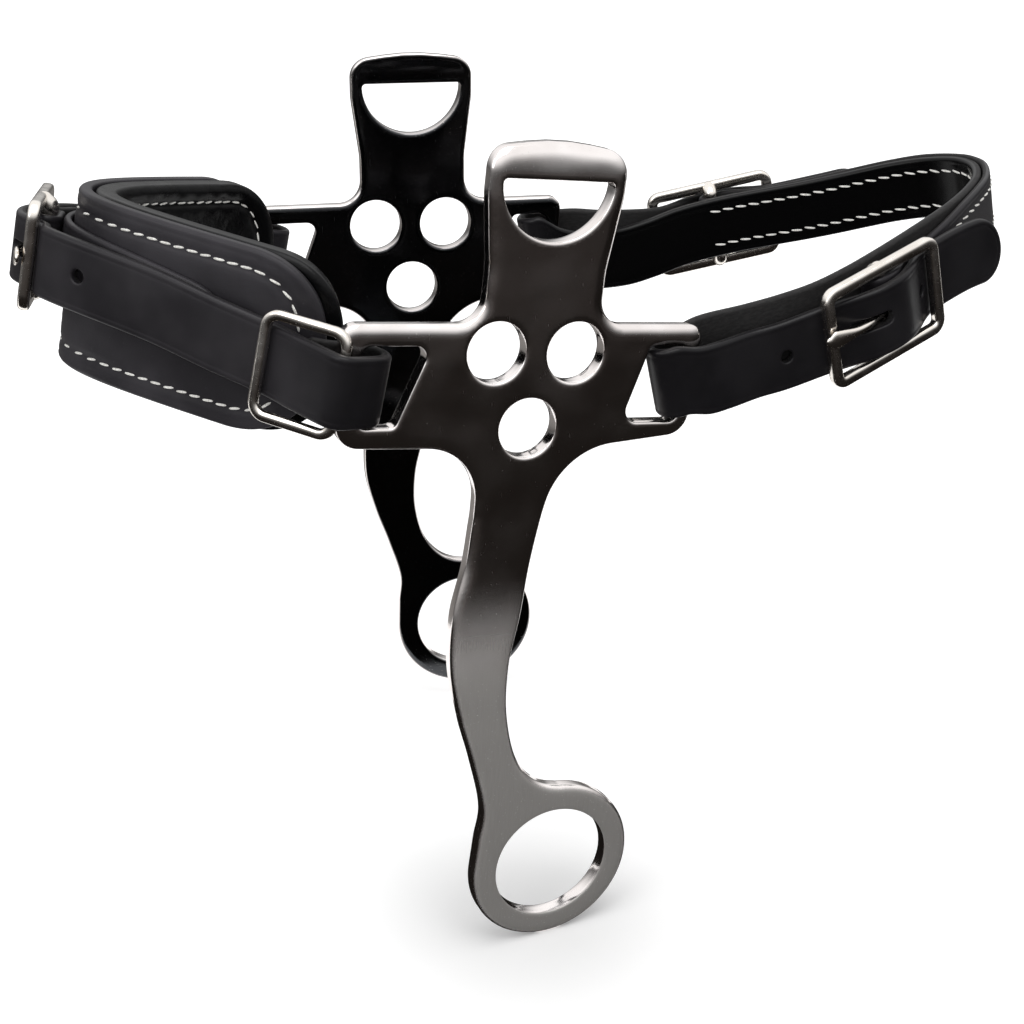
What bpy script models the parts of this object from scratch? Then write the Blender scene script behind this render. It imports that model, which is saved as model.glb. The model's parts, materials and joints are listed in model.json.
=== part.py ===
# A hackamore: two flat steel cheek plates with long shanks and rein rings,
# a padded leather noseband in front and a leather curb strap behind.
# The noseband buckles once at the front, the curb strap once on each side.
# Sizes are in millimetres and angles in degrees. Objects are written in metres.
# World frame: the origin is on the inner face of the nose pad at its front
# centre, X runs rearward, Y runs from the near side to the far side, Z is up.

import math

import bmesh
import bpy
import numpy as np
from mathutils.geometry import delaunay_2d_cdt

MM = 0.001

# Cheek plate. Plate coordinates: u rearward, v up, zero at the top of the head.
plate_thickness = 5.0
plate_edge_round = 1.2
head_width = 37.4
head_crown = 2.6
head_corner_radius = 7.0
head_side_length = 14.0
eye_radius = 15.4
eye_top_bar = 9.7
neck_side_margin = 5.3
neck_drop = 32.0
neck_fillet_radius = 8.5
wing_top_drop = 46.3
wing_front_reach = 53.3
wing_rear_reach = 47.8
wing_front_depth = 31.9
wing_rear_depth = 30.2
wing_root_depth = 33.0
wing_corner_radius = 4.0
wing_heel_radius = 6.5
front_bar_width = 5.2
rear_bar_width = 4.4
slot_height = 21.2
slot_arm_height = 5.3
slot_corner_radius = 3.0
front_slot_top_reach = 29.6
front_slot_bottom_reach = 37.6
rear_slot_top_reach = 32.2
rear_slot_bottom_reach = 26.2
hole_radius = 8.1
hole_pair_spacing = 22.2
hole_pair_offset = 0.9
hole_pair_drop = 53.4
lower_hole_drop = 73.6
shank_front_root_radius = 15.0
shank_rear_root_radius = 20.0
shank_drops = (98.0, 112.0, 126.0, 140.0, 154.0, 167.0)
shank_centres = (-3.0, -4.7, -7.0, -8.3, -6.6, -2.6)
shank_widths = (20.0, 18.9, 19.9, 17.2, 14.0, 13.2)
ring_reach = 18.1
ring_drop = 200.9
ring_outer_radius = 24.1
ring_inner_radius = 17.1
shank_flare = 10.4
shank_flare_start = 95.0
shank_flare_end = 190.0

# How the plates stand between the two straps.
plate_half_gap = 65.1
plate_toe = 5.8
front_bar_reach = 49.0
front_bar_height = -14.2
near_plate_lean = 7.1
far_plate_lean = 0.5

# Leather straps.
strap_width = 18.4
strap_thickness = 2.8
strap_edge = 0.7
ply_clearance = 0.42
slot_side_clearance = 1.2
front_loop_slack = 4.7
rear_loop_slack = 4.6

# Nose pad: a shell of firm leather over a padded lining, bent to a rounded V.
nose_rise = 12.8
nose_taper = 0.74
nose_bend_radius = 10.3
nose_reach = 53.0
nose_side_ease_start = 36.0
nose_side_ease_run = 50.0
pad_height = 46.4
lining_thickness = 6.6
lining_crown = 1.4
shell_thickness = 3.8
shell_setback = 3.5
pad_end_radius = 19.0
pad_gap = 0.5

# Guard strip that keeps the buckle off the pad.
guard_width = 17.0
guard_thickness = 2.0
guard_reach = 33.0
guard_tip_length = 13.0
guard_lift = 1.2

# Where the nose straps run.
nose_strap_front_lift = 5.0
nose_tip_reach = 25.0
return_ply_length = 9.5
nose_chape_length = 6.8
nose_end_rise = 1.6
strap_tip_length = 9.0

# Slide rings on the nose straps.
slide_wire = 2.8
slide_height = 28.6
slide_corner_radius = 5.0
slide_front_reach = 31.0
slide_front_half_width = 56.9
slide_rear_setback = 3.3
slide_rear_stand_off = 2.4

# Buckles with a centre bar and a round tongue.
buckle_wire = 3.4
buckle_bar_wire = 3.2
buckle_height = 29.0
buckle_corner_radius = 2.6
nose_buckle_length = 34.0
curb_buckle_length = 42.0
nose_buckle_side = 5.0
tongue_wire = 2.0
tongue_clearance = 0.3
tongue_slot = 5.0
tongue_rise_reach = 10.0
billet_slot_length = 12.5
billet_slot_depth = 7.0
ply_notch_length = 10.4
ply_notch_depth = 11.0

# Curb strap: one long strap, lined over its middle by an outer ply.
curb_rise = 12.4
curb_strap_width = 19.6
curb_reach = 119.8
curb_taper = 0.81
curb_bend_radius = 15.8
curb_side_pull = 0.58702
outer_ply_thickness = 2.2
outer_ply_width = 19.2
curb_chape_length = 9.0
curb_buckle_setback = 61.8
curb_tip_length = 32.0
curb_tip_lean = 5.0
curb_end_rise = 2.2
curb_end_d = 9.0
near_curb_buckle_height = -4.1
far_curb_buckle_height = -4.9
near_curb_buckle_slope = 0.07
far_curb_buckle_slope = 0.0
slot_sag_near = 0.4
slot_sag_far = 0.4
rear_slot_sag_near = 0.0
rear_slot_sag_far = 0.4
curb_near_inner_line = ((-1.0, -2.0), (7.0, -0.8), (18.0, -0.8), (30.0, -1.2), (42.0, -1.3), (56.0, -0.2),
                        (72.0, 1.0), (85.0, 1.4), (100.0, 1.2), (119.8, 0.5))
curb_near_ply_line = ((50.0, -3.2), (70.0, -3.0), (84.0, -1.8), (97.0, 0.3), (110.0, 1.0), (119.8, 0.7))
curb_near_billet_line = ((-1.0, -4.4), (4.0, -6.0), (14.0, -7.2), (26.0, -7.1), (38.0, -6.6), (48.0, -5.4),
                         (60.0, -4.2), (75.0, -2.8), (88.0, -1.7), (98.0, -2.6), (115.0, -4.6))
curb_far_inner_line = ((-1.0, 4.4), (9.0, -0.8), (20.0, -4.6), (28.0, -5.3), (38.0, -4.7), (48.0, -3.7),
                       (64.0, -3.7), (77.0, -3.9), (88.0, -3.5), (99.0, -2.3), (109.0, -0.8), (119.8, 0.5))
curb_far_ply_line = ((50.0, -4.3), (70.0, -4.2), (80.0, -4.0), (90.0, -3.4), (99.0, -2.3), (109.0, -0.8),
                     (119.8, 0.7))
curb_far_billet_line = ((-1.0, 5.6), (8.0, 4.6), (18.0, 2.2), (29.0, -1.0), (41.0, -3.9), (50.0, -4.5),
                        (65.0, -4.6), (80.0, -4.7), (94.0, -4.4), (118.0, -3.4))

# Materials: base colour, metallic, roughness.
STEEL = ("polished_steel", (0.36, 0.34, 0.32), 1.0, 0.22)
NICKEL = ("nickel_fittings", (0.72, 0.68, 0.62), 1.0, 0.16)
LEATHER = ("black_leather", (0.012, 0.012, 0.014), 0.0, 0.42)
LINING = ("black_lining", (0.018, 0.018, 0.020), 0.0, 0.55)

for old in list(bpy.data.objects):
    bpy.data.objects.remove(old, do_unlink=True)


def rad(angle):
    return math.radians(angle)


def paint(name, recipe):
    """Give a node its own Principled material."""
    label, colour, metallic, roughness = recipe
    mat = bpy.data.materials.new(label + "_" + name)
    mat.use_nodes = True
    shader = mat.node_tree.nodes["Principled BSDF"]
    shader.inputs["Base Color"].default_value = (*colour, 1.0)
    shader.inputs["Metallic"].default_value = metallic
    shader.inputs["Roughness"].default_value = roughness
    return mat


def add_object(name, points, faces, recipe):
    """Write one closed mesh in metres as a named object."""
    mesh = bpy.data.meshes.new(name)
    mesh.from_pydata([tuple(float(c) * MM for c in p) for p in points], [], faces)
    mesh.validate()
    work = bmesh.new()
    work.from_mesh(mesh)
    bmesh.ops.recalc_face_normals(work, faces=work.faces)
    work.to_mesh(mesh)
    work.free()
    obj = bpy.data.objects.new(name, mesh)
    bpy.context.scene.collection.objects.link(obj)
    if recipe is not None:
        mesh.materials.append(paint(name, recipe))
    return obj


def boolean(obj, cutter, operation):
    """Apply an exact Boolean and drop the helper."""
    mod = obj.modifiers.new(operation.lower(), "BOOLEAN")
    mod.operation = operation
    mod.solver = "EXACT"
    mod.object = cutter
    graph = bpy.context.evaluated_depsgraph_get()
    result = bpy.data.meshes.new_from_object(obj.evaluated_get(graph))
    obj.modifiers.clear()
    obj.data = result
    bpy.data.objects.remove(cutter, do_unlink=True)


def smooth(points, step):
    """Centripetal Catmull-Rom curve through the points, resampled evenly."""
    pts = np.asarray(points, float)
    first = 2.0 * pts[0] - pts[1]
    last = 2.0 * pts[-1] - pts[-2]
    ctl = np.vstack([first, pts, last])
    fine = []
    for i in range(1, len(ctl) - 2):
        p0, p1, p2, p3 = ctl[i - 1], ctl[i], ctl[i + 1], ctl[i + 2]
        t0 = 0.0
        t1 = t0 + math.sqrt(max(np.linalg.norm(p1 - p0), 1e-6))
        t2 = t1 + math.sqrt(max(np.linalg.norm(p2 - p1), 1e-6))
        t3 = t2 + math.sqrt(max(np.linalg.norm(p3 - p2), 1e-6))
        for t in np.linspace(t1, t2, 13)[:-1]:
            a1 = (t1 - t) / (t1 - t0) * p0 + (t - t0) / (t1 - t0) * p1
            a2 = (t2 - t) / (t2 - t1) * p1 + (t - t1) / (t2 - t1) * p2
            a3 = (t3 - t) / (t3 - t2) * p2 + (t - t2) / (t3 - t2) * p3
            b1 = (t2 - t) / (t2 - t0) * a1 + (t - t0) / (t2 - t0) * a2
            b2 = (t3 - t) / (t3 - t1) * a2 + (t - t1) / (t3 - t1) * a3
            fine.append((t2 - t) / (t2 - t1) * b1 + (t - t1) / (t2 - t1) * b2)
    fine.append(pts[-1])
    fine = np.array(fine)
    return resample(fine, step)


def resample(fine, step):
    """Points at an even spacing, closer together where the line turns hard."""
    seg = np.linalg.norm(np.diff(fine, axis=0), axis=1)
    length = np.concatenate([[0.0], np.cumsum(seg)])
    way = np.diff(fine, axis=0) / np.maximum(seg, 1e-9)[:, None]
    turn = np.concatenate([[0.0], np.arccos(np.clip((way[1:] * way[:-1]).sum(1), -1, 1)), [0.0]])
    effort = length / step + np.cumsum(turn) / rad(22.0)
    count = max(4, int(round(effort[-1])))
    at = np.interp(np.linspace(0.0, effort[-1], count + 1), effort, length)
    return np.stack([np.interp(at, length, fine[:, k]) for k in range(fine.shape[1])], axis=1)


def tangents(points):
    way = np.gradient(points, axis=0)
    return way / np.linalg.norm(way, axis=1)[:, None]


class Frame:
    """A band's own frame: p along the band's plane, q to the side, v across it."""

    def __init__(self, origin, rise):
        self.origin = np.array(origin, float)
        self.e1 = np.array([math.cos(rad(rise)), 0.0, -math.sin(rad(rise))])
        self.e2 = np.array([0.0, 1.0, 0.0])
        self.e3 = np.array([math.sin(rad(rise)), 0.0, math.cos(rad(rise))])

    def world(self, points):
        p = np.asarray(points, float)
        return self.origin + p[:, :1] * self.e1 + p[:, 1:2] * self.e2 + p[:, 2:3] * self.e3

    def local(self, point):
        d = np.array(point, float) - self.origin
        return np.array([d @ self.e1, d @ self.e2, d @ self.e3])


def ring_of_faces(rings, closed):
    """Quads between rings of equal size, with caps at the ends of an open run."""
    count, size = rings.shape[0], rings.shape[1]
    faces = []
    last = count if closed else count - 1
    for i in range(last):
        j = (i + 1) % count
        for k in range(size):
            n = (k + 1) % size
            faces.append((i * size + k, i * size + n, j * size + n, j * size + k))
    if not closed:
        faces.append(tuple(range(size))[::-1])
        faces.append(tuple((count - 1) * size + k for k in range(size)))
    return rings.reshape(-1, 3), faces


def ribbon(name, frame, line, thickness, widths, recipe, edge=strap_edge):
    """Flat strap whose width lies along the frame's third axis.
    Section corner = centre + (t/2) n + (w/2) e3, with bevelled corners."""
    pts = frame.world(line)
    flat = line.copy()
    flat[:, 2] = 0.0
    way = tangents(frame.world(flat))
    out = np.cross(way, frame.e3)
    t, c = thickness / 2.0, edge
    rings = []
    for point, normal, width in zip(pts, out, widths):
        w = width / 2.0
        e = min(c, 0.45 * width)
        shape = ((t, w - e), (t - e, w), (-t + e, w), (-t, w - e), (-t, -w + e), (-t + e, -w), (t - e, -w),
                 (t, -w + e))
        rings.append([point + a * normal + b * frame.e3 for a, b in shape])
    verts, faces = ring_of_faces(np.array(rings), False)
    return add_object(name, verts, faces, recipe)


def wire(points, radius, closed, sides, across):
    """Round wire along a flat path; across is the path plane's normal."""
    pts = np.asarray(points, float)
    if closed:
        way = np.roll(pts, -1, axis=0) - np.roll(pts, 1, axis=0)
        way = way / np.linalg.norm(way, axis=1)[:, None]
    else:
        way = tangents(pts)
    side = np.cross(way, across)
    side = side / np.linalg.norm(side, axis=1)[:, None]
    turn = np.arange(sides) * 2.0 * math.pi / sides + math.pi / sides
    up = np.cross(side, way)
    radii = np.full(len(pts), radius) if np.isscalar(radius) else np.asarray(radius)
    rings = (pts[:, None, :] + radii[:, None, None] * (np.cos(turn)[None, :, None] * side[:, None, :]
             + np.sin(turn)[None, :, None] * up[:, None, :]))
    return ring_of_faces(rings, closed)


def rounded(corners, segment=16.0):
    """Polygon with rounded corners: each corner is (x, y, radius)."""
    out = []
    count = len(corners)
    for i in range(count):
        x, y, r = corners[i]
        here = np.array([x, y], float)
        before = np.array(corners[i - 1][:2], float)
        after = np.array(corners[(i + 1) % count][:2], float)
        a = before - here
        b = after - here
        la, lb = np.linalg.norm(a), np.linalg.norm(b)
        a, b = a / la, b / lb
        half = 0.5 * math.acos(max(-1.0, min(1.0, float(a @ b))))
        if r <= 0.0 or half > rad(89.0):
            out.append(here)
            continue
        share_a = 0.48 if corners[i - 1][2] > 0.0 else 0.97
        share_b = 0.48 if corners[(i + 1) % count][2] > 0.0 else 0.97
        cut = min(r / math.tan(half), share_a * la, share_b * lb)
        r = cut * math.tan(half)
        centre = here + (a + b) / np.linalg.norm(a + b) * (r / math.sin(half))
        start = here + a * cut - centre
        sweep = math.pi - 2.0 * half
        steps = max(2, int(math.ceil(math.degrees(sweep) / segment)))
        sign = 1.0 if a[0] * b[1] - a[1] * b[0] < 0 else -1.0
        for k in range(steps + 1):
            t = sign * sweep * k / steps
            ct, st = math.cos(t), math.sin(t)
            out.append(centre + np.array([ct * start[0] - st * start[1], st * start[0] + ct * start[1]]))
    return np.array(out)


def circle(x, y, r, count):
    t = np.arange(count) * 2.0 * math.pi / count
    return np.stack([x + r * np.cos(t), y + r * np.sin(t)], axis=1)


def area(loop):
    x, y = loop[:, 0], loop[:, 1]
    return 0.5 * float(np.sum(x * np.roll(y, -1) - np.roll(x, -1) * y))


def inset(loop, depth):
    """Move a loop into the material, which lies to its left."""
    before = loop - np.roll(loop, 1, axis=0)
    after = np.roll(loop, -1, axis=0) - loop
    na = np.stack([-before[:, 1], before[:, 0]], axis=1)
    nb = np.stack([-after[:, 1], after[:, 0]], axis=1)
    na = na / np.linalg.norm(na, axis=1)[:, None]
    nb = nb / np.linalg.norm(nb, axis=1)[:, None]
    mid = na + nb
    mid = mid / np.maximum((mid * na).sum(1), 0.5)[:, None]
    return loop + mid * depth


def plate_solid(outer, holes, thickness, edge):
    """Flat plate with holes and bevelled edges, as points (u, v, w) and faces."""
    if area(outer) < 0:
        outer = outer[::-1]
    loops = [outer] + [h if area(h) < 0 else h[::-1] for h in holes]
    levels = ((edge, thickness / 2), (0.0, thickness / 2 - edge), (0.0, -thickness / 2 + edge),
              (edge, -thickness / 2))
    points, faces, start = [], [], 0
    tops, bottoms = [], []
    for loop in loops:
        n = len(loop)
        for depth, height in levels:
            ring = inset(loop, depth)
            points.extend([(a, b, height) for a, b in ring])
        for level in range(len(levels) - 1):
            for k in range(n):
                a = start + level * n + k
                b = start + level * n + (k + 1) % n
                faces.append((a, b, b + n, a + n))
        tops.append(list(range(start, start + n)))
        bottoms.append(list(range(start + (len(levels) - 1) * n, start + len(levels) * n)))
        start += n * len(levels)
    flat = [k for ring in tops for k in ring]
    twin = {a: b for ta, tb in zip(tops, bottoms) for a, b in zip(ta, tb)}
    verts = [(points[k][0], points[k][1]) for k in flat]
    edges, base = [], 0
    for ring in tops:
        n = len(ring)
        edges.extend([(base + k, base + (k + 1) % n) for k in range(n)])
        base += n
    found = delaunay_2d_cdt(verts, edges, [], 0, 1e-4)
    place = [flat[src[0]] for src in found[3]]
    rims = [inset(loop, edge) for loop in loops]
    for tri in found[2]:
        centre = np.mean([found[0][k] for k in tri], axis=0)
        if not inside(centre, rims[0]) or any(inside(centre, rim) for rim in rims[1:]):
            continue
        faces.append(tuple(place[k] for k in tri))
        faces.append(tuple(twin[place[k]] for k in tri)[::-1])
    return np.array(points), faces


def inside(point, loop):
    x, y = point
    x1, y1 = loop[:, 0], loop[:, 1]
    x2, y2 = np.roll(x1, -1), np.roll(y1, -1)
    cross = ((y1 > y) != (y2 > y))
    dy = np.where(y2 == y1, 1e-9, y2 - y1)
    return bool(np.sum(cross & (x < (x2 - x1) * (y - y1) / dy + x1)) % 2)


def pchip(x, xs, ys):
    """Smooth values through given stations without overshoot."""
    xs, ys = np.asarray(xs, float), np.asarray(ys, float)
    h = np.diff(xs)
    d = np.diff(ys) / h
    m = np.zeros_like(ys)
    for i in range(1, len(xs) - 1):
        if d[i - 1] * d[i] > 0:
            w1, w2 = 2 * h[i] + h[i - 1], h[i] + 2 * h[i - 1]
            m[i] = (w1 + w2) / (w1 / d[i - 1] + w2 / d[i])
    m[0], m[-1] = d[0], d[-1]
    x = np.clip(x, xs[0], xs[-1])
    i = np.clip(np.searchsorted(xs, x) - 1, 0, len(h) - 1)
    t = (x - xs[i]) / h[i]
    return ((1 + 2 * t) * (1 - t) ** 2 * ys[i] + t * (1 - t) ** 2 * h[i] * m[i]
            + t ** 2 * (3 - 2 * t) * ys[i + 1] + t ** 2 * (t - 1) * h[i] * m[i + 1])


# Cheek plates. Slots first, because the straps are laid from their bars.
slot_top = -(wing_top_drop + slot_arm_height)
slot_mid = slot_top - slot_height / 2.0
slot_bottom = slot_top - slot_height
front_bar_u = -wing_front_reach + front_bar_width / 2.0
rear_bar_u = wing_rear_reach - rear_bar_width / 2.0
bar_spacing = rear_bar_u - front_bar_u


def cheek_outline():
    head, neck = head_width / 2.0, hole_pair_spacing / 2.0 + neck_side_margin
    top = -wing_top_drop
    stations = [-d for d in shank_drops]
    right = [(c + w / 2.0, v) for c, w, v in zip(shank_centres, shank_widths, stations)]
    left = [(c - w / 2.0, v) for c, w, v in zip(shank_centres, shank_widths, stations)]
    ring_top = -ring_drop + ring_outer_radius
    ring_left = ring_reach - ring_outer_radius
    start = np.array([ring_reach, -ring_drop + ring_outer_radius])
    gap = start - np.array(right[-1])
    right += [right[-1] + gap * (0.38, 0.66), right[-1] + gap * (0.70, 0.91), start]
    left += [(ring_left + 0.9, ring_top - 5.2), (ring_left + 0.3, -ring_drop + 10.5)]
    web_right = rounded([(wing_rear_reach, top, wing_corner_radius),
                         (wing_rear_reach - 0.5, top - wing_rear_depth, wing_heel_radius),
                         (right[0][0] + 3.5, top - wing_root_depth - 1.2, shank_rear_root_radius),
                         (right[0][0], right[0][1], 0.0), (0.0, top, 0.0)])
    web_right = web_right[:-2]
    right_edge = smooth(right, 6.0)
    ring_turn = np.linspace(rad(90.0), rad(-180.0), 30)[1:]
    ring = np.stack([ring_reach + ring_outer_radius * np.cos(ring_turn),
                     -ring_drop + ring_outer_radius * np.sin(ring_turn)], axis=1)
    left_edge = smooth(left, 6.0)[::-1]
    web_left = rounded([(left[0][0], left[0][1], 0.0),
                        (left[0][0] - 0.3, top - wing_root_depth, shank_front_root_radius),
                        (-wing_front_reach + 0.6, top - wing_front_depth, wing_heel_radius),
                        (-wing_front_reach, top, wing_corner_radius), (0.0, top, 0.0)])
    web_left = web_left[1:-1]
    crown = rounded([(-wing_front_reach, top, 0.0), (-neck, top, neck_fillet_radius),
                     (-neck, -neck_drop, 20.0), (-head, -head_side_length, 20.0),
                     (-head, -head_crown, head_corner_radius), (0.0, 0.0, 70.0),
                     (head, -head_crown, head_corner_radius), (head, -head_side_length, 20.0),
                     (neck, -neck_drop, 20.0), (neck, top, neck_fillet_radius), (wing_rear_reach, top, 0.0)])
    crown = crown[1:-1]
    return np.vstack([crown, web_right, right_edge, ring, left_edge, web_left])


def cheek_holes():
    eye = rounded([(-eye_radius, -eye_top_bar, 1.2), (eye_radius, -eye_top_bar, 1.2)]
                  + [(eye_radius * math.cos(a), -eye_top_bar + eye_radius * math.sin(a), 0.0)
                     for a in np.linspace(rad(-11.0), rad(-169.0), 14)])
    front = rounded([(front_bar_u + front_bar_width / 2.0, slot_top, slot_corner_radius),
                     (front_bar_u + front_bar_width / 2.0, slot_bottom, slot_corner_radius),
                     (-front_slot_bottom_reach, slot_bottom, slot_corner_radius * 0.7),
                     (-front_slot_top_reach, slot_top, slot_corner_radius)], 24.0)
    rear = rounded([(rear_slot_top_reach, slot_top, slot_corner_radius * 0.7),
                    (rear_slot_bottom_reach, slot_bottom, slot_corner_radius * 1.2),
                    (rear_bar_u - rear_bar_width / 2.0, slot_bottom, slot_corner_radius),
                    (rear_bar_u - rear_bar_width / 2.0, slot_top, slot_corner_radius)], 24.0)
    half = hole_pair_spacing / 2.0
    round_holes = [circle(-hole_pair_offset - half, -hole_pair_drop, hole_radius, 22),
                   circle(-hole_pair_offset + half, -hole_pair_drop, hole_radius, 22),
                   circle(-hole_pair_offset, -lower_hole_drop, hole_radius, 22)]
    rein = circle(ring_reach, -ring_drop, ring_inner_radius, 30)
    return [eye, front, rear] + round_holes + [rein]


def plate_axes(side, lean):
    """Origin and axes of a plate: u rearward, v up, w outward. side is -1 near, 1 far."""
    s, c = math.sin(rad(lean)), math.cos(rad(lean))
    turn = rad(plate_toe)
    u = np.array([c * math.cos(turn), -side * c * math.sin(turn), -s])
    v = np.array([s * math.cos(turn), -side * s * math.sin(turn), c])
    w = np.array([math.sin(turn), side * math.cos(turn), 0.0])
    origin = np.array([front_bar_reach, side * plate_half_gap, front_bar_height])
    return origin, u, v, w


def cheek_plate(name, side, lean):
    points, faces = plate_solid(cheek_outline(), cheek_holes(), plate_thickness, plate_edge_round)
    t = np.clip((-points[:, 1] - shank_flare_start) / (shank_flare_end - shank_flare_start), 0.0, 1.0)
    points[:, 2] += shank_flare * t * t * (3.0 - 2.0 * t)
    origin, u, v, w = plate_axes(side, lean)
    world = (origin + (points[:, :1] - front_bar_u) * u + (points[:, 1:2] - slot_mid) * v
             + points[:, 2:3] * w)
    return add_object(name, world, faces, STEEL)


leans = {-1: near_plate_lean, 1: far_plate_lean}
cheek_plate("near_cheek_plate", -1, near_plate_lean)
cheek_plate("far_cheek_plate", 1, far_plate_lean)

# Nose pad. The inner line at distance p behind the front has the half width
# w = sqrt((k p)^2 + 2 r p), eased so the sides end parallel to the plates.
nose = Frame((0.0, 0.0, 0.0), nose_rise)


class Line:
    """A band's inner line, with points at arc length s and distance d outside it."""

    def __init__(self, p, w):
        way = np.stack([np.gradient(p), np.gradient(w)], axis=1)
        way[0] = (0.0, 1.0)
        way = way / np.linalg.norm(way, axis=1)[:, None]
        self.p, self.w = p, w
        self.s = np.concatenate([[0.0], np.cumsum(np.hypot(np.diff(p), np.diff(w)))])
        self.way = way

    def at(self, s, d):
        """Plan point (p, q) for signed arc length s and outward distance d."""
        a = np.abs(s)
        side = np.where(np.asarray(s) < 0, -1.0, 1.0)
        p, w = np.interp(a, self.s, self.p), np.interp(a, self.s, self.w)
        tp, tw = np.interp(a, self.s, self.way[:, 0]), np.interp(a, self.s, self.way[:, 1])
        return np.stack([p - d * tw * self.turn, side * (w + d * tp * self.turn)], axis=-1)

    turn = 1.0

    def s_of(self, p, d=0.0):
        """Arc length at which the line offset by d reaches p."""
        grid = np.linspace(0.0, self.s[-1], 500)
        pts = self.at(grid, d)
        return float(grid[np.abs(pts[:, 0] - p).argmin()])

    def s_of_q(self, q, d):
        """Arc length at which the line offset by d reaches q."""
        grid = np.linspace(0.0, self.s[-1], 2000)
        return float(grid[np.abs(self.at(grid, d)[:, 1] - q).argmin()])

    def s_at_distance(self, point, d, reach):
        """Arc length at which the line offset by d is a given reach from a point."""
        grid = np.linspace(0.0, self.s[-1], 3000)
        gap = np.linalg.norm(self.at(grid, d) - point, axis=1)
        beyond = grid > grid[gap.argmin()]
        return float(grid[beyond][np.abs(gap[beyond] - reach).argmin()])


grid_p = np.linspace(0.0, 1.0, 900) ** 2 * (nose_reach + 12.0)
nose_line = Line(grid_p, np.sqrt((nose_taper * grid_p) ** 2 + 2.0 * nose_bend_radius * grid_p)
                 - np.maximum(grid_p - nose_side_ease_start, 0.0) ** 2 / nose_side_ease_run)

lining_outer = lining_thickness
shell_inner = lining_outer + pad_gap
pad_outer = shell_inner + shell_thickness
pad_end = nose_line.s_of(nose_reach)


def pad_layer(name, d0, d1, end, crown, corner, recipe):
    """Sweep a rounded section along the nose line and round the layer's two ends.
    Half height h = H/2 (1 - t^2.4)^(1/2.4) over the last pad_end_radius."""
    stations = []
    s = -end
    while s < end - 1e-6:
        stations.append(s)
        near_end = end - abs(s) < pad_end_radius
        s += 2.2 if near_end else (2.6 if abs(s) < 20.0 else 5.0)
    stations.append(end)
    rings = []
    for s in stations:
        t = max(0.0, (abs(s) - (end - pad_end_radius)) / pad_end_radius) * 0.985
        half = pad_height / 2.0 * (1.0 - t ** 2.4) ** (1.0 / 2.4)
        c = min(corner, 0.4 * half)
        k = c * 0.3
        inner = [(d0 + c, half), (d0 + k, half - k), (d0, half - c), (d0 - crown * 0.75, half * 0.5),
                 (d0 - crown, 0.0), (d0 - crown * 0.75, -half * 0.5), (d0, -half + c), (d0 + k, -half + k),
                 (d0 + c, -half)]
        outer = [(d1 - c, -half), (d1 - k, -half + k), (d1, -half + c), (d1, half - c), (d1 - k, half - k),
                 (d1 - c, half)]
        ring = []
        for d, v in inner + outer:
            p, q = nose_line.at(np.array(s), d)
            ring.append((p, q, v))
        rings.append(nose.world(ring))
    verts, faces = ring_of_faces(np.array(rings), False)
    return add_object(name, verts, faces, recipe)


pad_layer("nose_pad_lining", 0.0, lining_outer, pad_end, lining_crown, 2.6, LINING)
pad_layer("nose_pad_shell", shell_inner, pad_outer, pad_end - shell_setback, 0.0, 1.3, LEATHER)

strap_half = strap_thickness / 2.0
fold_radius = plate_thickness / 2.0 + slot_side_clearance + strap_half
front_fold_centre = front_bar_width / 2.0 + front_loop_slack - (fold_radius - strap_half)
rear_fold_centre = -(rear_bar_width / 2.0 + rear_loop_slack - (fold_radius - strap_half))
slot_sag = {-1: slot_sag_near, 1: slot_sag_far}
bar_local, fold_height = {}, {}
for side in (-1, 1):
    bar_centre, along_u = plate_axes(side, leans[side])[:2]
    bar_local[side] = nose.local(bar_centre)
    fold_middle = bar_centre + (front_fold_centre + fold_radius) * along_u
    fold_height[side] = nose.local(fold_middle)[2] - slot_sag[side]


def nose_height(p, side):
    """Height of a nose strap's centre line in the pad's frame."""
    low = fold_height[side]
    t = np.clip((bar_local[-1][0] - p) / (bar_local[-1][0] + 16.0), 0.0, 1.0)
    return low + (nose_strap_front_lift - low) * t * t * (3.0 - 2.0 * t)


def tip_widths(line, width, start_tip, end_tip, length=strap_tip_length):
    """Strap widths with rounded tips: w = W (1 - t^2)^0.5 near a free end."""
    run = np.concatenate([[0.0], np.cumsum(np.linalg.norm(np.diff(line, axis=0), axis=1))])
    widths = np.full(len(run), width)
    for use, dist in ((start_tip, run), (end_tip, run[-1] - run)):
        if use:
            t = np.clip(1.0 - dist / length, 0.0, 0.94)
            widths = np.minimum(widths, width * np.sqrt(1.0 - t * t))
    return widths


guard_d = pad_outer + ply_clearance + guard_thickness / 2.0
guard_top = pad_outer + ply_clearance + guard_thickness
guard_end = nose_line.s_of(guard_reach)
guard_s = np.linspace(-guard_end, guard_end, 46)
guard_plan = nose_line.at(guard_s, guard_d)
guard_line = np.column_stack([guard_plan, nose_height(guard_plan[:, 0], -1) + guard_lift])
ribbon("nose_guard_strip", nose, guard_line, guard_thickness,
       tip_widths(guard_line, guard_width, True, True, guard_tip_length), LEATHER, 0.5)

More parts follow.
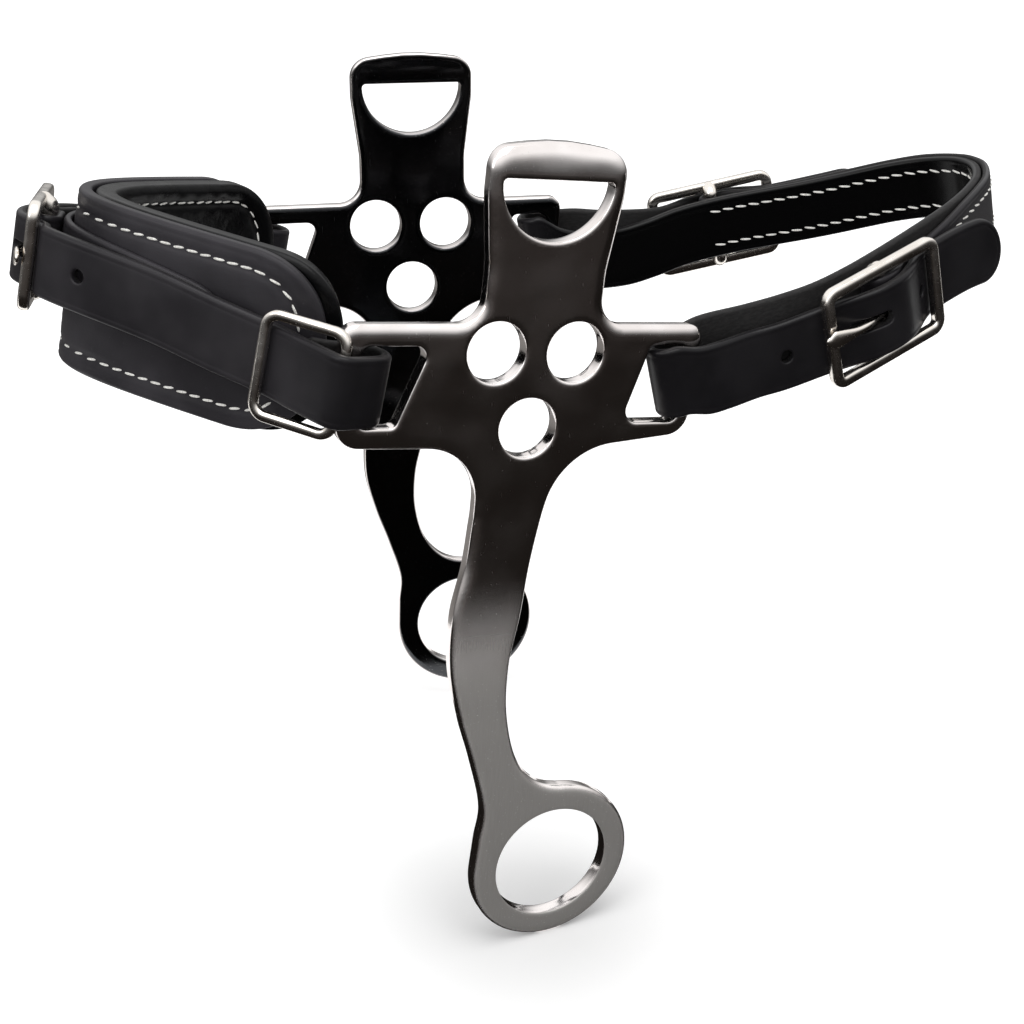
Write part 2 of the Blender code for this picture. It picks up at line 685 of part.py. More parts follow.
# Nose buckle: its centre bar, then the far end bar that holds the billet down.
bar_radius = buckle_bar_wire / 2.0
end_radius = buckle_wire / 2.0
chape_thickness = strap_thickness - 0.4
chape_half = chape_thickness / 2.0
chape_radius = bar_radius + tongue_clearance + chape_half
far_strap_d = guard_top + ply_clearance + chape_half
nose_bar_d = far_strap_d + chape_radius
far_end_d = far_strap_d + chape_half + ply_clearance + strap_thickness + ply_clearance + end_radius
near_strap_d = guard_top + ply_clearance + strap_half
over_bar = chape_radius + chape_half + ply_clearance + strap_half
under_end = end_radius + ply_clearance + strap_half
nose_half_span = (nose_buckle_length - buckle_wire) / 2.0
bar_s = nose_line.s_of_q(nose_buckle_side, nose_bar_d)
bar_plan = nose_line.at(bar_s, nose_bar_d)
end_s = nose_line.s_at_distance(bar_plan, far_end_d, nose_half_span)
end_plan = nose_line.at(end_s, far_end_d)
bar_way = (end_plan - bar_plan) / nose_half_span
bar_out = np.array([-bar_way[1], bar_way[0]])
near_end_plan = bar_plan - bar_way * nose_half_span + bar_out * nose_end_rise
far_end_plan = bar_plan + bar_way * nose_half_span + bar_out * nose_end_rise


def bar_point(bar, a, b, side):
    """Plan point at distance a rearward of a bar and b outside the plate's middle."""
    turn = rad(plate_toe)
    return np.array([bar[0] + a * math.cos(turn) + b * math.sin(turn),
                     bar[1] + side * (-a * math.sin(turn) + b * math.cos(turn))])


def fold(bar, side, centre, direction, start=90.0):
    """Half turn of a strap round a bar, from outside the plate to inside it."""
    pts = []
    for angle in np.linspace(start, -90.0, 7):
        a = centre + direction * fold_radius * math.cos(rad(angle))
        b = fold_radius * math.sin(rad(angle))
        pts.append(bar_point(bar, a, b, side))
    return pts


slide_radius = slide_wire / 2.0
slide_gap = 0.35
slide_step = slide_radius + slide_gap + strap_half


def slide_points(side):
    """Plan points of a slide ring's front and rear bars."""
    front = np.array([slide_front_reach, side * slide_front_half_width])
    rear_out = plate_thickness / 2.0 + slide_rear_stand_off
    rear = bar_point(bar_local[side], -slide_rear_setback, rear_out, side)
    return front, rear


def strap_from_fold(side):
    """Plan points of a nose strap from its return ply to just past the slide ring.
    It passes outside the ring's rear bar and inside the front one, on their common
    inner tangent: sin(phi) = 2 step / span."""
    bar = bar_local[side]
    front, rear = slide_points(side)
    span = rear - front
    length = np.linalg.norm(span)
    phi = math.asin(2.0 * slide_step / length) + math.atan2(side * span[1], span[0])
    way = np.array([math.cos(phi), side * math.sin(phi)])
    normal = np.array([-way[1], way[0]]) * side
    pts = [bar_point(bar, -return_ply_length, -fold_radius, side), bar_point(bar, -5.0, -fold_radius, side),
           bar_point(bar, -0.5, -fold_radius, side)]
    pts += fold(bar, side, front_fold_centre, 1.0, 67.0)[::-1]
    for angle in (72.0, 98.0, 124.0):
        wrap = bar_point(bar, math.cos(rad(angle)), math.sin(rad(angle)), side) - bar[:2]
        pts.append(rear + wrap * slide_step)
    pts.append(rear + normal * slide_step)
    pts.append((rear + normal * slide_step + front - normal * slide_step) / 2.0)
    pts.append(front - normal * slide_step)
    return pts


near_pts = strap_from_fold(-1)
for s in (-nose_line.s_of(21.0, near_strap_d), -nose_line.s_of(8.0, near_strap_d)):
    near_pts.append(nose_line.at(s, near_strap_d))
near_pts.append(near_end_plan - bar_way * 1.0 - bar_out * (under_end + 0.1))
near_pts.append(near_end_plan + bar_way * 2.6 - bar_out * (under_end - 0.6))
near_pts.append(bar_plan - bar_way * 4.5 + bar_out * (over_bar - 1.0))
near_pts.append(bar_plan + bar_out * over_bar)
near_pts.append(bar_plan + bar_way * 4.5 + bar_out * (over_bar - 0.7))
near_pts.append(bar_plan + bar_way * 9.0 + bar_out * 3.1)
near_pts.append(bar_plan + bar_way * 12.0 - bar_out * 0.3)
near_pts.append(far_end_plan + bar_way * 0.2 - bar_out * (under_end + 0.3))
tip_s = nose_line.s_of(nose_tip_reach, far_end_d)
for s, d in ((end_s + 5.0, far_end_d - under_end + 0.2), ((end_s + tip_s) / 2.0, far_end_d - under_end),
             (tip_s, far_end_d - under_end + 0.5)):
    near_pts.append(nose_line.at(s, d))
near_plan = smooth(near_pts, 5.0)
near_nose_line = np.column_stack([near_plan, nose_height(near_plan[:, 0], -1)])
near_nose = ribbon("near_nose_strap", nose, near_nose_line, strap_thickness,
                   tip_widths(near_nose_line, strap_width, False, True), LEATHER)

# The far strap comes round to the front and turns back round the buckle's bar.
far_pts = strap_from_fold(1)
for s in (nose_line.s_of(21.0, far_strap_d), nose_line.s_of(12.0, far_strap_d), end_s + 5.0, end_s + 2.0):
    far_pts.append(nose_line.at(s, far_strap_d))
for a, b in ((14.0, -5.7), (11.0, -3.9), (7.5, -0.4), (4.0, chape_radius - 0.8)):
    far_pts.append(bar_plan + bar_way * a + bar_out * b)
for angle in np.linspace(90.0, 270.0, 7):
    a = rad(angle)
    far_pts.append(bar_plan + chape_radius * (bar_way * math.cos(a) + bar_out * math.sin(a)))
far_pts.append(bar_plan + bar_way * nose_chape_length * 0.5 - bar_out * chape_radius)
far_pts.append(bar_plan + bar_way * nose_chape_length - bar_out * (chape_radius + 0.3))
far_plan = smooth(far_pts, 5.0)
far_nose_line = np.column_stack([far_plan, nose_height(far_plan[:, 0], 1)])
far_nose = ribbon("far_nose_strap", nose, far_nose_line, chape_thickness,
                  np.full(len(far_nose_line), strap_width), LEATHER)


def box(frame, centre, along, out, sizes):
    """Cutter box in a band's frame; centre is (p, q, v), sizes along, out and across."""
    pts, faces = [], [(0, 1, 3, 2), (4, 6, 7, 5), (0, 4, 5, 1), (2, 3, 7, 6), (0, 2, 6, 4), (1, 5, 7, 3)]
    for i in (-0.5, 0.5):
        for j in (-0.5, 0.5):
            for k in (-0.5, 0.5):
                p, q = centre[:2] + i * sizes[0] * along + j * sizes[1] * out
                pts.append((p, q, centre[2] + k * sizes[2]))
    return add_object("cutter", frame.world(pts), faces, None)


def frame_path(frame, middle, along, height, length, tall, corner):
    """Closed path of a rectangular frame with rounded corners."""
    half_l, half_t = length / 2.0, tall / 2.0
    shape = rounded([(-half_l, -half_t, corner), (half_l, -half_t, corner), (half_l, half_t, corner),
                     (-half_l, half_t, corner)], 30.0)
    return frame.world([(middle[0] + a * along[0], middle[1] + a * along[1], height + b) for a, b in shape])


def slide_ring(name, side):
    front, rear = slide_points(side)
    middle = (front + rear) / 2.0
    span = np.linalg.norm(rear - front)
    along = (rear - front) / span
    height = float(nose_height(middle[0], side))
    path = frame_path(nose, middle, along, height, span, slide_height - slide_wire,
                      slide_corner_radius - slide_radius)
    across = nose.world([(-along[1], along[0], 0.0)])[0]
    verts, faces = wire(path, slide_radius, True, 8, across)
    return add_object(name, verts, faces, NICKEL)


slide_ring("near_slide_ring", -1)
slide_ring("far_slide_ring", 1)


def buckle(name, frame, foot, along_way, out, height, length, end_rise, slope):
    """Rectangular frame whose plane stands end_rise outside its centre bar.
    slope raises the frame by slope * distance along it."""
    centre = foot + out * end_rise
    path = frame_path(frame, centre, along_way, height, length - buckle_wire, buckle_height - buckle_wire,
                      buckle_corner_radius)
    across = frame.world([(out[0], out[1], 0.0)])[0] - frame.origin
    run = (path - frame.world([(centre[0], centre[1], height)])) @ (
        frame.world([(along_way[0], along_way[1], 0.0)])[0] - frame.origin)
    path = path + slope * run[:, None] * frame.e3
    verts, faces = wire(path, buckle_wire / 2.0, True, 8, across)
    obj = add_object(name, verts, faces, NICKEL)
    top = (buckle_height - buckle_wire) / 2.0
    inner = top - buckle_wire / 2.0 - 0.2
    bar = frame.world([(centre[0], centre[1], height - top), (foot[0], foot[1], height - inner),
                       (foot[0], foot[1], height), (foot[0], foot[1], height + inner),
                       (centre[0], centre[1], height + top)])
    side_way = frame.world([(along_way[0], along_way[1], 0.0)])[0] - frame.origin
    bverts, bfaces = wire(bar, bar_radius, False, 8, side_way)
    helper = add_object("cutter", bverts, bfaces, None)
    boolean(obj, helper, "UNION")
    return obj


def tongue(name, frame, bar, towards, out, height, reach):
    """Tongue: a loop round the bar, then a rod that rests over the frame's end bar.
    towards points from the centre bar to the end bar; reach lists (along, out) points."""
    r = bar_radius + tongue_clearance + tongue_wire / 2.0
    pts = []
    for angle in np.linspace(-150.0, 90.0, 9):
        a = rad(angle)
        pts.append(bar + r * (-towards * math.cos(a) + out * math.sin(a)))
    pts = np.vstack([pts, [bar + towards * a + out * b for a, b in reach]])
    plan = np.vstack([pts[:9], smooth(pts[8:], 2.0)[1:]])
    path = frame.world(np.column_stack([plan, np.full(len(plan), height)]))
    radii = np.full(len(path), tongue_wire / 2.0)
    radii[-1] *= 0.55
    verts, faces = wire(path, radii, False, 6, frame.e3)
    return add_object(name, verts, faces, NICKEL)


# Nose buckle, across the front of the pad.
nose_buckle_height = float(nose_height(bar_plan[0], -1))
buckle("nose_buckle", nose, bar_plan, bar_way, bar_out, nose_buckle_height, nose_buckle_length,
       nose_end_rise, 0.0)
rest = nose_end_rise + end_radius + tongue_wire / 2.0 + tongue_clearance
tongue("nose_buckle_tongue", nose, bar_plan, -bar_way, bar_out, nose_buckle_height,
       [(3.2, bar_radius + tongue_clearance + tongue_wire / 2.0), (9.0, rest + 0.2),
        (nose_half_span, rest + 0.1),
        (nose_half_span + 2.4, rest - 0.3)])
boolean(near_nose, box(nose, np.array([*(bar_plan - bar_way * 5.8 + bar_out * 3.0), nose_buckle_height]),
                       bar_way, bar_out, (9.4, 12.0, tongue_slot)), "DIFFERENCE")
boolean(far_nose, box(nose, np.array([*(bar_plan - bar_way * 0.4), nose_buckle_height]),
                      bar_way, bar_out, (10.4, 13.0, tongue_slot)), "DIFFERENCE")

# Curb strap.
rear_bars = {side: plate_axes(side, leans[side])[0] + bar_spacing * plate_axes(side, leans[side])[1]
             for side in (-1, 1)}
curb_origin = (rear_bars[-1] + rear_bars[1]) / 2.0
curb = Frame(curb_origin, -curb_rise)
curb_bars = {side: curb.local(rear_bars[side]) for side in (-1, 1)}
rear_slot_sag = {-1: rear_slot_sag_near, 1: rear_slot_sag_far}
curb_buckle_height = {-1: near_curb_buckle_height, 1: far_curb_buckle_height}
curb_buckle_slope = {-1: near_curb_buckle_slope, 1: far_curb_buckle_slope}
depth = np.linspace(0.0, 1.0, 900) ** 2 * curb_reach
inner_w = np.sqrt((curb_taper * depth) ** 2 + 2.0 * curb_bend_radius * depth)
inner_w = inner_w * (1.0 - curb_side_pull * depth / curb_reach)
curb_line = Line(depth, inner_w)


def curb_at(s, d):
    """Plan point of the curb's inner line: s from the rear end, signed by side."""
    pt = curb_line.at(s, d)
    return np.array([curb_reach - pt[0], pt[1]])


def curb_s(p, d=0.0):
    """Arc length from the rear end at which the line offset by d lies at p."""
    return curb_line.s_of(curb_reach - p, d)


def along(line, p):
    return float(pchip(p, [a for a, b in line], [b for a, b in line]))


inner_line = {-1: curb_near_inner_line, 1: curb_far_inner_line}
ply_line = {-1: curb_near_ply_line, 1: curb_far_ply_line}
billet_line = {-1: curb_near_billet_line, 1: curb_far_billet_line}
inner_d = strap_half
ply_half_thickness = outer_ply_thickness / 2.0
lined_d = strap_thickness + ply_clearance + ply_half_thickness
curb_chape_radius = bar_radius + tongue_clearance + ply_half_thickness
curb_bar_d = lined_d + curb_chape_radius
curb_over_bar = curb_chape_radius + ply_half_thickness + ply_clearance + strap_half
billet_d = strap_thickness + ply_clearance + strap_half
curb_half_span = (curb_buckle_length - buckle_wire) / 2.0
curb_under_end = end_radius + ply_clearance + strap_half
curb_bar_plan, curb_bar_out, curb_bar_way, curb_front_end, curb_rear_end = {}, {}, {}, {}, {}
for side in (-1, 1):
    front_s = side * curb_s(curb_reach - curb_buckle_setback - curb_half_span, curb_end_d)
    front = curb_at(front_s, curb_end_d)
    middle_s = side * curb_s(curb_reach - curb_buckle_setback, curb_bar_d)
    curb_bar_plan[side] = curb_at(middle_s, curb_bar_d)
    curb_bar_out[side] = curb_at(middle_s, curb_bar_d + 1.0) - curb_bar_plan[side]
    curb_bar_way[side] = np.array([side * curb_bar_out[side][1], -side * curb_bar_out[side][0]])
    base = curb_bar_plan[side] + curb_bar_out[side] * curb_end_rise
    curb_front_end[side] = base - curb_bar_way[side] * curb_half_span
    curb_rear_end[side] = base + curb_bar_way[side] * curb_half_span


def curb_half(side):
    """Points (p, q, v) from a billet's tip, through its buckle and slot, to the rear."""
    bar = curb_bars[side]
    plane, out, way = curb_bar_plan[side], curb_bar_out[side], curb_bar_way[side]
    rear, front = curb_rear_end[side], curb_front_end[side]
    held = rear - out * curb_under_end
    lean = way * math.cos(rad(curb_tip_lean)) - out * math.sin(rad(curb_tip_lean))
    pts = [held + lean * curb_tip_length, held + lean * curb_tip_length * 0.55, held + lean * 4.0, held,
           plane + way * 15.0 + out * 0.4, plane + way * 10.0 + out * 3.2,
           plane + way * 5.0 + out * (curb_over_bar - 0.6), plane + out * curb_over_bar,
           plane - way * 5.5 + out * (curb_over_bar - 0.9), front + way * 2.0 - out * curb_under_end]
    front_p = front[0] - 13.0
    pts += [curb_at(side * curb_s(front_p, billet_d), billet_d + 0.4),
            curb_at(side * curb_s(front_p - 8.0, billet_d), billet_d)]
    pts = [np.array([*pt, along(billet_line[side], pt[0])]) for pt in pts]
    leave = along(billet_line[side], bar[0] + 10.0)
    pts.append(np.array([*bar_point(bar, 10.0, fold_radius - 0.7, side), leave]))
    enter = along(billet_line[side], bar[0] + 3.0)
    pts.append(np.array([*bar_point(bar, 3.0, fold_radius, side), enter]))
    for pt in fold(bar, side, rear_fold_centre, -1.0):
        pts.append(np.array([*pt, curb_fold_height[side]]))
    pts.append(np.array([*bar_point(bar, 3.0, -fold_radius, side), along(inner_line[side], bar[0] + 3.0)]))
    pts.append(np.array([*bar_point(bar, 9.0, -fold_radius, side), along(inner_line[side], bar[0] + 9.0)]))
    for s in np.linspace(curb_s(bar[0] + 22.0), 5.0, 12):
        pt = curb_at(side * s, inner_d)
        pts.append(np.array([*pt, along(inner_line[side], pt[0])]))
    return pts


curb_fold_height = {}
for side in (-1, 1):
    fold_middle = rear_bars[side] + (rear_fold_centre - fold_radius) * plate_axes(side, leans[side])[1]
    curb_fold_height[side] = curb.local(fold_middle)[2] - rear_slot_sag[side]
apex = np.array([*curb_at(0.001, inner_d), along(curb_near_inner_line, curb_reach)])
curb_path = smooth(curb_half(-1) + [apex] + curb_half(1)[::-1], 6.0)
curb_strap = ribbon("curb_strap", curb, curb_path, strap_thickness,
                    tip_widths(curb_path, curb_strap_width, True, True), LEATHER)

# Outer ply: sewn to the curb strap, its ends turned round the two buckle bars.


def ply_half(side):
    """Points of the outer ply from its turned-under end, round the bar, to the rear."""
    plane, out, way = curb_bar_plan[side], curb_bar_out[side], curb_bar_way[side]
    pts = [plane + way * curb_chape_length - out * (curb_chape_radius + 0.4),
           plane + way * curb_chape_length * 0.5 - out * curb_chape_radius]
    for angle in np.linspace(-90.0, -270.0, 7):
        a = rad(angle)
        pts.append(plane + curb_chape_radius * (way * math.cos(a) + out * math.sin(a)))
    pts += [plane + way * 5.0 + out * (curb_chape_radius - 0.8), plane + way * 9.0 + out * 0.2,
            plane + way * 13.0 - out * 2.6]
    end_p = plane[0] + way[0] * (curb_chape_length + 13.0)
    end_s = curb_s(end_p, lined_d)
    for s in np.linspace(end_s, 5.0, 6):
        pts.append(curb_at(side * s, lined_d))
    return [np.array([*pt, along(ply_line[side], pt[0])]) for pt in pts]


ply_apex = np.array([*curb_at(0.001, lined_d), along(curb_near_ply_line, curb_reach)])
ply_path = smooth(ply_half(-1) + [ply_apex] + ply_half(1)[::-1], 6.0)
outer_ply = ribbon("curb_outer_ply", curb, ply_path, outer_ply_thickness,
                   np.full(len(ply_path), outer_ply_width), LEATHER, 0.5)

for side, word in ((-1, "near"), (1, "far")):
    plane, out, way = curb_bar_plan[side], curb_bar_out[side], curb_bar_way[side]
    height = curb_buckle_height[side]
    buckle(word + "_curb_buckle", curb, plane, way, out, height, curb_buckle_length, curb_end_rise,
           curb_buckle_slope[side])
    rest = curb_end_rise + end_radius + tongue_wire / 2.0 + tongue_clearance
    tongue(word + "_curb_tongue", curb, plane, -way, out, height,
           [(3.2, bar_radius + tongue_clearance + tongue_wire / 2.0 + 0.5), (tongue_rise_reach, rest + 0.2),
            (curb_half_span, rest + 0.1), (curb_half_span + 2.6, rest - 0.3)])
    hole = np.array([*(plane - way * 8.0 + out * 4.6), height])
    billet_slot = box(curb, hole, way, out, (billet_slot_length, billet_slot_depth, tongue_slot))
    boolean(curb_strap, billet_slot, "DIFFERENCE")
    notch = np.array([*(plane + way * 0.4), height])
    ply_notch = box(curb, notch, way, out, (ply_notch_length, ply_notch_depth, tongue_slot))
    boolean(outer_ply, ply_notch, "DIFFERENCE")
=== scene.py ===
import json
import math
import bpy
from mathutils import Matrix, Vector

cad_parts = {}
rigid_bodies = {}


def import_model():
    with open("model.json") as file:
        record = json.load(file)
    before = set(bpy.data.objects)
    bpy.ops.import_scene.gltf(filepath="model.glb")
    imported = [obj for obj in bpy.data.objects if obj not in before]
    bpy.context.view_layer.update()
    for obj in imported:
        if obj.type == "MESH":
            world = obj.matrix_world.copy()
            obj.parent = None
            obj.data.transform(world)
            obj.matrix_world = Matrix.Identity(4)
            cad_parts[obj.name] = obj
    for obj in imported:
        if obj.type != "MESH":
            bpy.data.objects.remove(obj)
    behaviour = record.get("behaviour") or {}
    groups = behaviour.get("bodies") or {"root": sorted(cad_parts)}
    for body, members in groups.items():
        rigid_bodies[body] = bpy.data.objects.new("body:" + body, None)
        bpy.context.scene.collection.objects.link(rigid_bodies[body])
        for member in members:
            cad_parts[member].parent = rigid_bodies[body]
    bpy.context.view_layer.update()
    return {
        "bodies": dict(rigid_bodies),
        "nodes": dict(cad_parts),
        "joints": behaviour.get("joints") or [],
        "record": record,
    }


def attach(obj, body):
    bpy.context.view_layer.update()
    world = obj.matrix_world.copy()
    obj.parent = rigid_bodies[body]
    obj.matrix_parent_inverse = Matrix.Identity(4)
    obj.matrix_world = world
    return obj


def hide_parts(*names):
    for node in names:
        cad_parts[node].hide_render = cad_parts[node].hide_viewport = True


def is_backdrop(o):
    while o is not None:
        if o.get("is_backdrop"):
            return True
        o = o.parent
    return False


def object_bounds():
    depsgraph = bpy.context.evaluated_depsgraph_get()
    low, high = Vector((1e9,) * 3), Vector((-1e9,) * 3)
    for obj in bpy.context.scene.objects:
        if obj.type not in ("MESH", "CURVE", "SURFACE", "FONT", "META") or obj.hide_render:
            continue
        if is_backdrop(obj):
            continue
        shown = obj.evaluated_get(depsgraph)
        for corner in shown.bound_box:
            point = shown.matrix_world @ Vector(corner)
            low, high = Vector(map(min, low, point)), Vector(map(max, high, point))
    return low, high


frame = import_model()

from types import SimpleNamespace

import bpy
import numpy as np
from mathutils import Matrix
from mathutils.geometry import delaunay_2d_cdt

# Cheek plates. Two flat steel plates, cut and punched, their faces ground to
# a soft pillow along every edge and polished; the shanks and rings are left
# with a fine vertical satin grain. Lengths here and below are in millimetres.
MM = 0.001
PLATE_THICKNESS = 5.0
HEAD_WIDTH = 37.4
HEAD_CROWN = 2.6
HEAD_CORNER = 7.0
HEAD_SIDE = 14.0
EYE_RADIUS = 15.4
EYE_TOP_BAR = 9.7
EYE_CORNER = 1.2
CROWN_RADIUS = 70.0
NECK_WIDTH = 32.8
NECK_DROP = 32.0
NECK_FILLET = 8.5
NECK_EASE = 20.0
WING_DROP = 46.3
WING_FRONT = 53.3
WING_REAR = 47.8
WING_FRONT_DEPTH = 31.9
WING_REAR_DEPTH = 30.2
WING_ROOT_DEPTH = 33.0
WING_CORNER = 4.0
WING_HEEL = 6.5
FRONT_BAR = 5.2
REAR_BAR = 4.4
SLOT_HEIGHT = 21.2
SLOT_ARM = 5.3
SLOT_CORNER = 3.0
FRONT_SLOT_TOP = -29.6
FRONT_SLOT_FOOT = -37.6
REAR_SLOT_TOP = 32.2
REAR_SLOT_FOOT = 26.2
HOLE_RADIUS = 8.1
HOLE_SPACING = 22.2
HOLE_OFFSET = 0.9
HOLE_PAIR_DROP = 53.4
LOWER_HOLE_DROP = 73.6
SHANK_FRONT_ROOT = 15.0
SHANK_REAR_ROOT = 20.0
SHANK_DROPS = (98.0, 112.0, 126.0, 140.0, 154.0, 167.0)
SHANK_CENTRES = (-3.0, -4.7, -7.0, -8.3, -6.6, -2.6)
SHANK_WIDTHS = (20.0, 18.9, 19.9, 17.2, 14.0, 13.2)
RING_REACH = 18.1
RING_DROP = 200.9
RING_OUTER = 24.1
RING_INNER = 17.1
RING_BLEND = ((0.38, 0.66), (0.70, 0.91))
FLARE = 10.4
FLARE_START = 95.0
FLARE_END = 190.0
RIM_REACH = 4.4
RIM_DEPTH = 1.7
RIM_SOFT = 1.4
BACK_RIM_REACH = 1.7
BACK_RIM_DEPTH = 1.0
HOLE_RIM_REACH = 1.1
HOLE_RIM_DEPTH = 0.5
HEAD_BEND = 1.9
PLATE_TOE = 5.8
PLATE_LEAN = {-1: 7.1, 1: 0.5}
FRONT_BAR_PLACE = (49.0, 65.1, -14.2)

slot_top = -(WING_DROP + SLOT_ARM)
slot_mid = slot_top - SLOT_HEIGHT / 2.0
front_bar_u = -WING_FRONT + FRONT_BAR / 2.0
rear_bar_u = WING_REAR - REAR_BAR / 2.0


def unit(rows):
    """Rows, or a single vector, scaled to length one."""
    return rows / np.linalg.norm(rows, axis=-1, keepdims=True)


def run_along(line):
    """Arc length from the first point of a line to each of its points."""
    return np.concatenate([[0.0], np.cumsum(np.linalg.norm(np.diff(line, axis=0), axis=1))])


def ease(t):
    """Smooth step 3 t^2 - 2 t^3."""
    return t * t * (3.0 - 2.0 * t)


def hump(x, middle, reach):
    """Bell curve exp(-((x - middle) / reach)^2)."""
    return np.exp(-((x - middle) / reach) ** 2)


def halves(quads):
    """The two triangles of each four-sided face."""
    return np.vstack([quads[:, :3], quads[:, [0, 2, 3]]])


def line_through(points, step, turn=6.0):
    """Centripetal Catmull-Rom curve through the points, then stations along it that
    are spaced by arc length / step plus turned angle / turn."""
    p = np.asarray(points, float)
    p = np.vstack([2.0 * p[0] - p[1], p, 2.0 * p[-1] - p[-2]])
    gap = np.sqrt(np.maximum(np.linalg.norm(np.diff(p, axis=0), axis=1), 1e-6))
    knot = np.concatenate([[0.0], np.cumsum(gap)])
    i = np.repeat(np.arange(1, len(p) - 2), 24)
    t = knot[i] + np.tile(np.arange(24) / 24.0, len(p) - 3) * gap[i]

    def mix(a, b, ta, tb):
        return ((tb - t)[:, None] * a + (t - ta)[:, None] * b) / (tb - ta)[:, None]

    k0, k1, k2, k3 = knot[i - 1], knot[i], knot[i + 1], knot[i + 2]
    a1, a2, a3 = mix(p[i - 1], p[i], k0, k1), mix(p[i], p[i + 1], k1, k2), mix(p[i + 1], p[i + 2], k2, k3)
    b1, b2 = mix(a1, a2, k0, k2), mix(a2, a3, k1, k3)
    fine = np.vstack([mix(b1, b2, k1, k2), p[-2]])
    seg = np.linalg.norm(np.diff(fine, axis=0), axis=1)
    run = np.concatenate([[0.0], np.cumsum(seg)])
    way = np.diff(fine, axis=0) / np.maximum(seg, 1e-9)[:, None]
    bend = np.concatenate([[0.0], np.arccos(np.clip((way[1:] * way[:-1]).sum(1), -1, 1)), [0.0]])
    effort = run / step + np.degrees(np.cumsum(bend)) / turn
    at = np.interp(np.linspace(0.0, effort[-1], max(4, int(effort[-1]) + 1)), effort, run)
    return np.stack([np.interp(at, run, fine[:, k]) for k in range(fine.shape[1])], axis=1)


def rounded(corners, step=6.0):
    """Polygon whose corners (x, y, radius) are arcs, cut back where two arcs would meet."""
    out = []
    for i, (x, y, r) in enumerate(corners):
        here = np.array([x, y], float)
        after = corners[(i + 1) % len(corners)]
        a = np.array(corners[i - 1][:2], float) - here
        b = np.array(after[:2], float) - here
        la, lb = np.linalg.norm(a), np.linalg.norm(b)
        a, b = a / la, b / lb
        half = 0.5 * math.acos(max(-1.0, min(1.0, float(a @ b))))
        if r <= 0.0 or half > math.radians(89.0):
            out.append(here[None])
            continue
        share_a = 0.48 if corners[i - 1][2] > 0.0 else 0.97
        share_b = 0.48 if after[2] > 0.0 else 0.97
        cut = min(r / math.tan(half), share_a * la, share_b * lb)
        centre = here + (a + b) / np.linalg.norm(a + b) * (cut / math.cos(half))
        start = here + a * cut - centre
        sweep = math.pi - 2.0 * half
        sign = 1.0 if a[0] * b[1] - a[1] * b[0] < 0 else -1.0
        t = sign * np.linspace(0.0, sweep, max(3, int(math.degrees(sweep) / step) + 2))
        out.append(centre + np.stack([np.cos(t) * start[0] - np.sin(t) * start[1],
                                      np.sin(t) * start[0] + np.cos(t) * start[1]], axis=1))
    return np.vstack(out)


def even_loop(loop, step):
    """Closed line with points at an even spacing."""
    ring = np.vstack([loop, loop[:1]])
    run = run_along(ring)
    at = np.linspace(0.0, run[-1], max(12, int(run[-1] / step)) + 1)[:-1]
    return np.stack([np.interp(at, run, ring[:, 0]), np.interp(at, run, ring[:, 1])], axis=1)


def circle(x, y, r):
    """Closed line of 96 points (x + r cos t, y + r sin t)."""
    t = np.linspace(0.0, 2.0 * math.pi, 97)[:-1]
    return np.stack([x + r * np.cos(t), y + r * np.sin(t)], axis=1)


def cheek_outline():
    """The plate's edge, in plate coordinates: u rearward, v up from the head's top."""
    head, neck, top = HEAD_WIDTH / 2.0, NECK_WIDTH / 2.0, -WING_DROP
    right = [(c + w / 2.0, -d) for c, w, d in zip(SHANK_CENTRES, SHANK_WIDTHS, SHANK_DROPS)]
    left = [(c - w / 2.0, -d) for c, w, d in zip(SHANK_CENTRES, SHANK_WIDTHS, SHANK_DROPS)]
    ring_top, ring_left = RING_OUTER - RING_DROP, RING_REACH - RING_OUTER
    start = np.array([RING_REACH, ring_top])
    gap = start - np.array(right[-1])
    right += [right[-1] + gap * share for share in RING_BLEND] + [start]
    left += [(ring_left + 0.9, ring_top - 5.2), (ring_left + 0.3, -RING_DROP + 10.5)]
    web_right = rounded([(WING_REAR, top, WING_CORNER), (WING_REAR - 0.5, top - WING_REAR_DEPTH, WING_HEEL),
                         (right[0][0] + 3.5, top - WING_ROOT_DEPTH - 1.2, SHANK_REAR_ROOT),
                         (*right[0], 0.0), (0.0, top, 0.0)])[:-2]
    turn = np.radians(np.linspace(90.0, -180.0, 120)[1:])
    ring = np.stack([RING_REACH + RING_OUTER * np.cos(turn), -RING_DROP + RING_OUTER * np.sin(turn)], axis=1)
    web_left = rounded([(*left[0], 0.0), (left[0][0] - 0.3, top - WING_ROOT_DEPTH, SHANK_FRONT_ROOT),
                        (-WING_FRONT + 0.6, top - WING_FRONT_DEPTH, WING_HEEL),
                        (-WING_FRONT, top, WING_CORNER), (0.0, top, 0.0)])[1:-1]
    rise = [(neck, top, NECK_FILLET), (neck, -NECK_DROP, NECK_EASE), (head, -HEAD_SIDE, NECK_EASE),
            (head, -HEAD_CROWN, HEAD_CORNER)]
    crown = rounded([(-WING_FRONT, top, 0.0)] + [(-u, v, radius) for u, v, radius in rise]
                    + [(0.0, 0.0, CROWN_RADIUS)] + rise[::-1] + [(WING_REAR, top, 0.0)])[1:-1]
    return np.vstack([crown, web_right, line_through(right, 1.0), ring, line_through(left, 1.0)[::-1],
                      web_left])


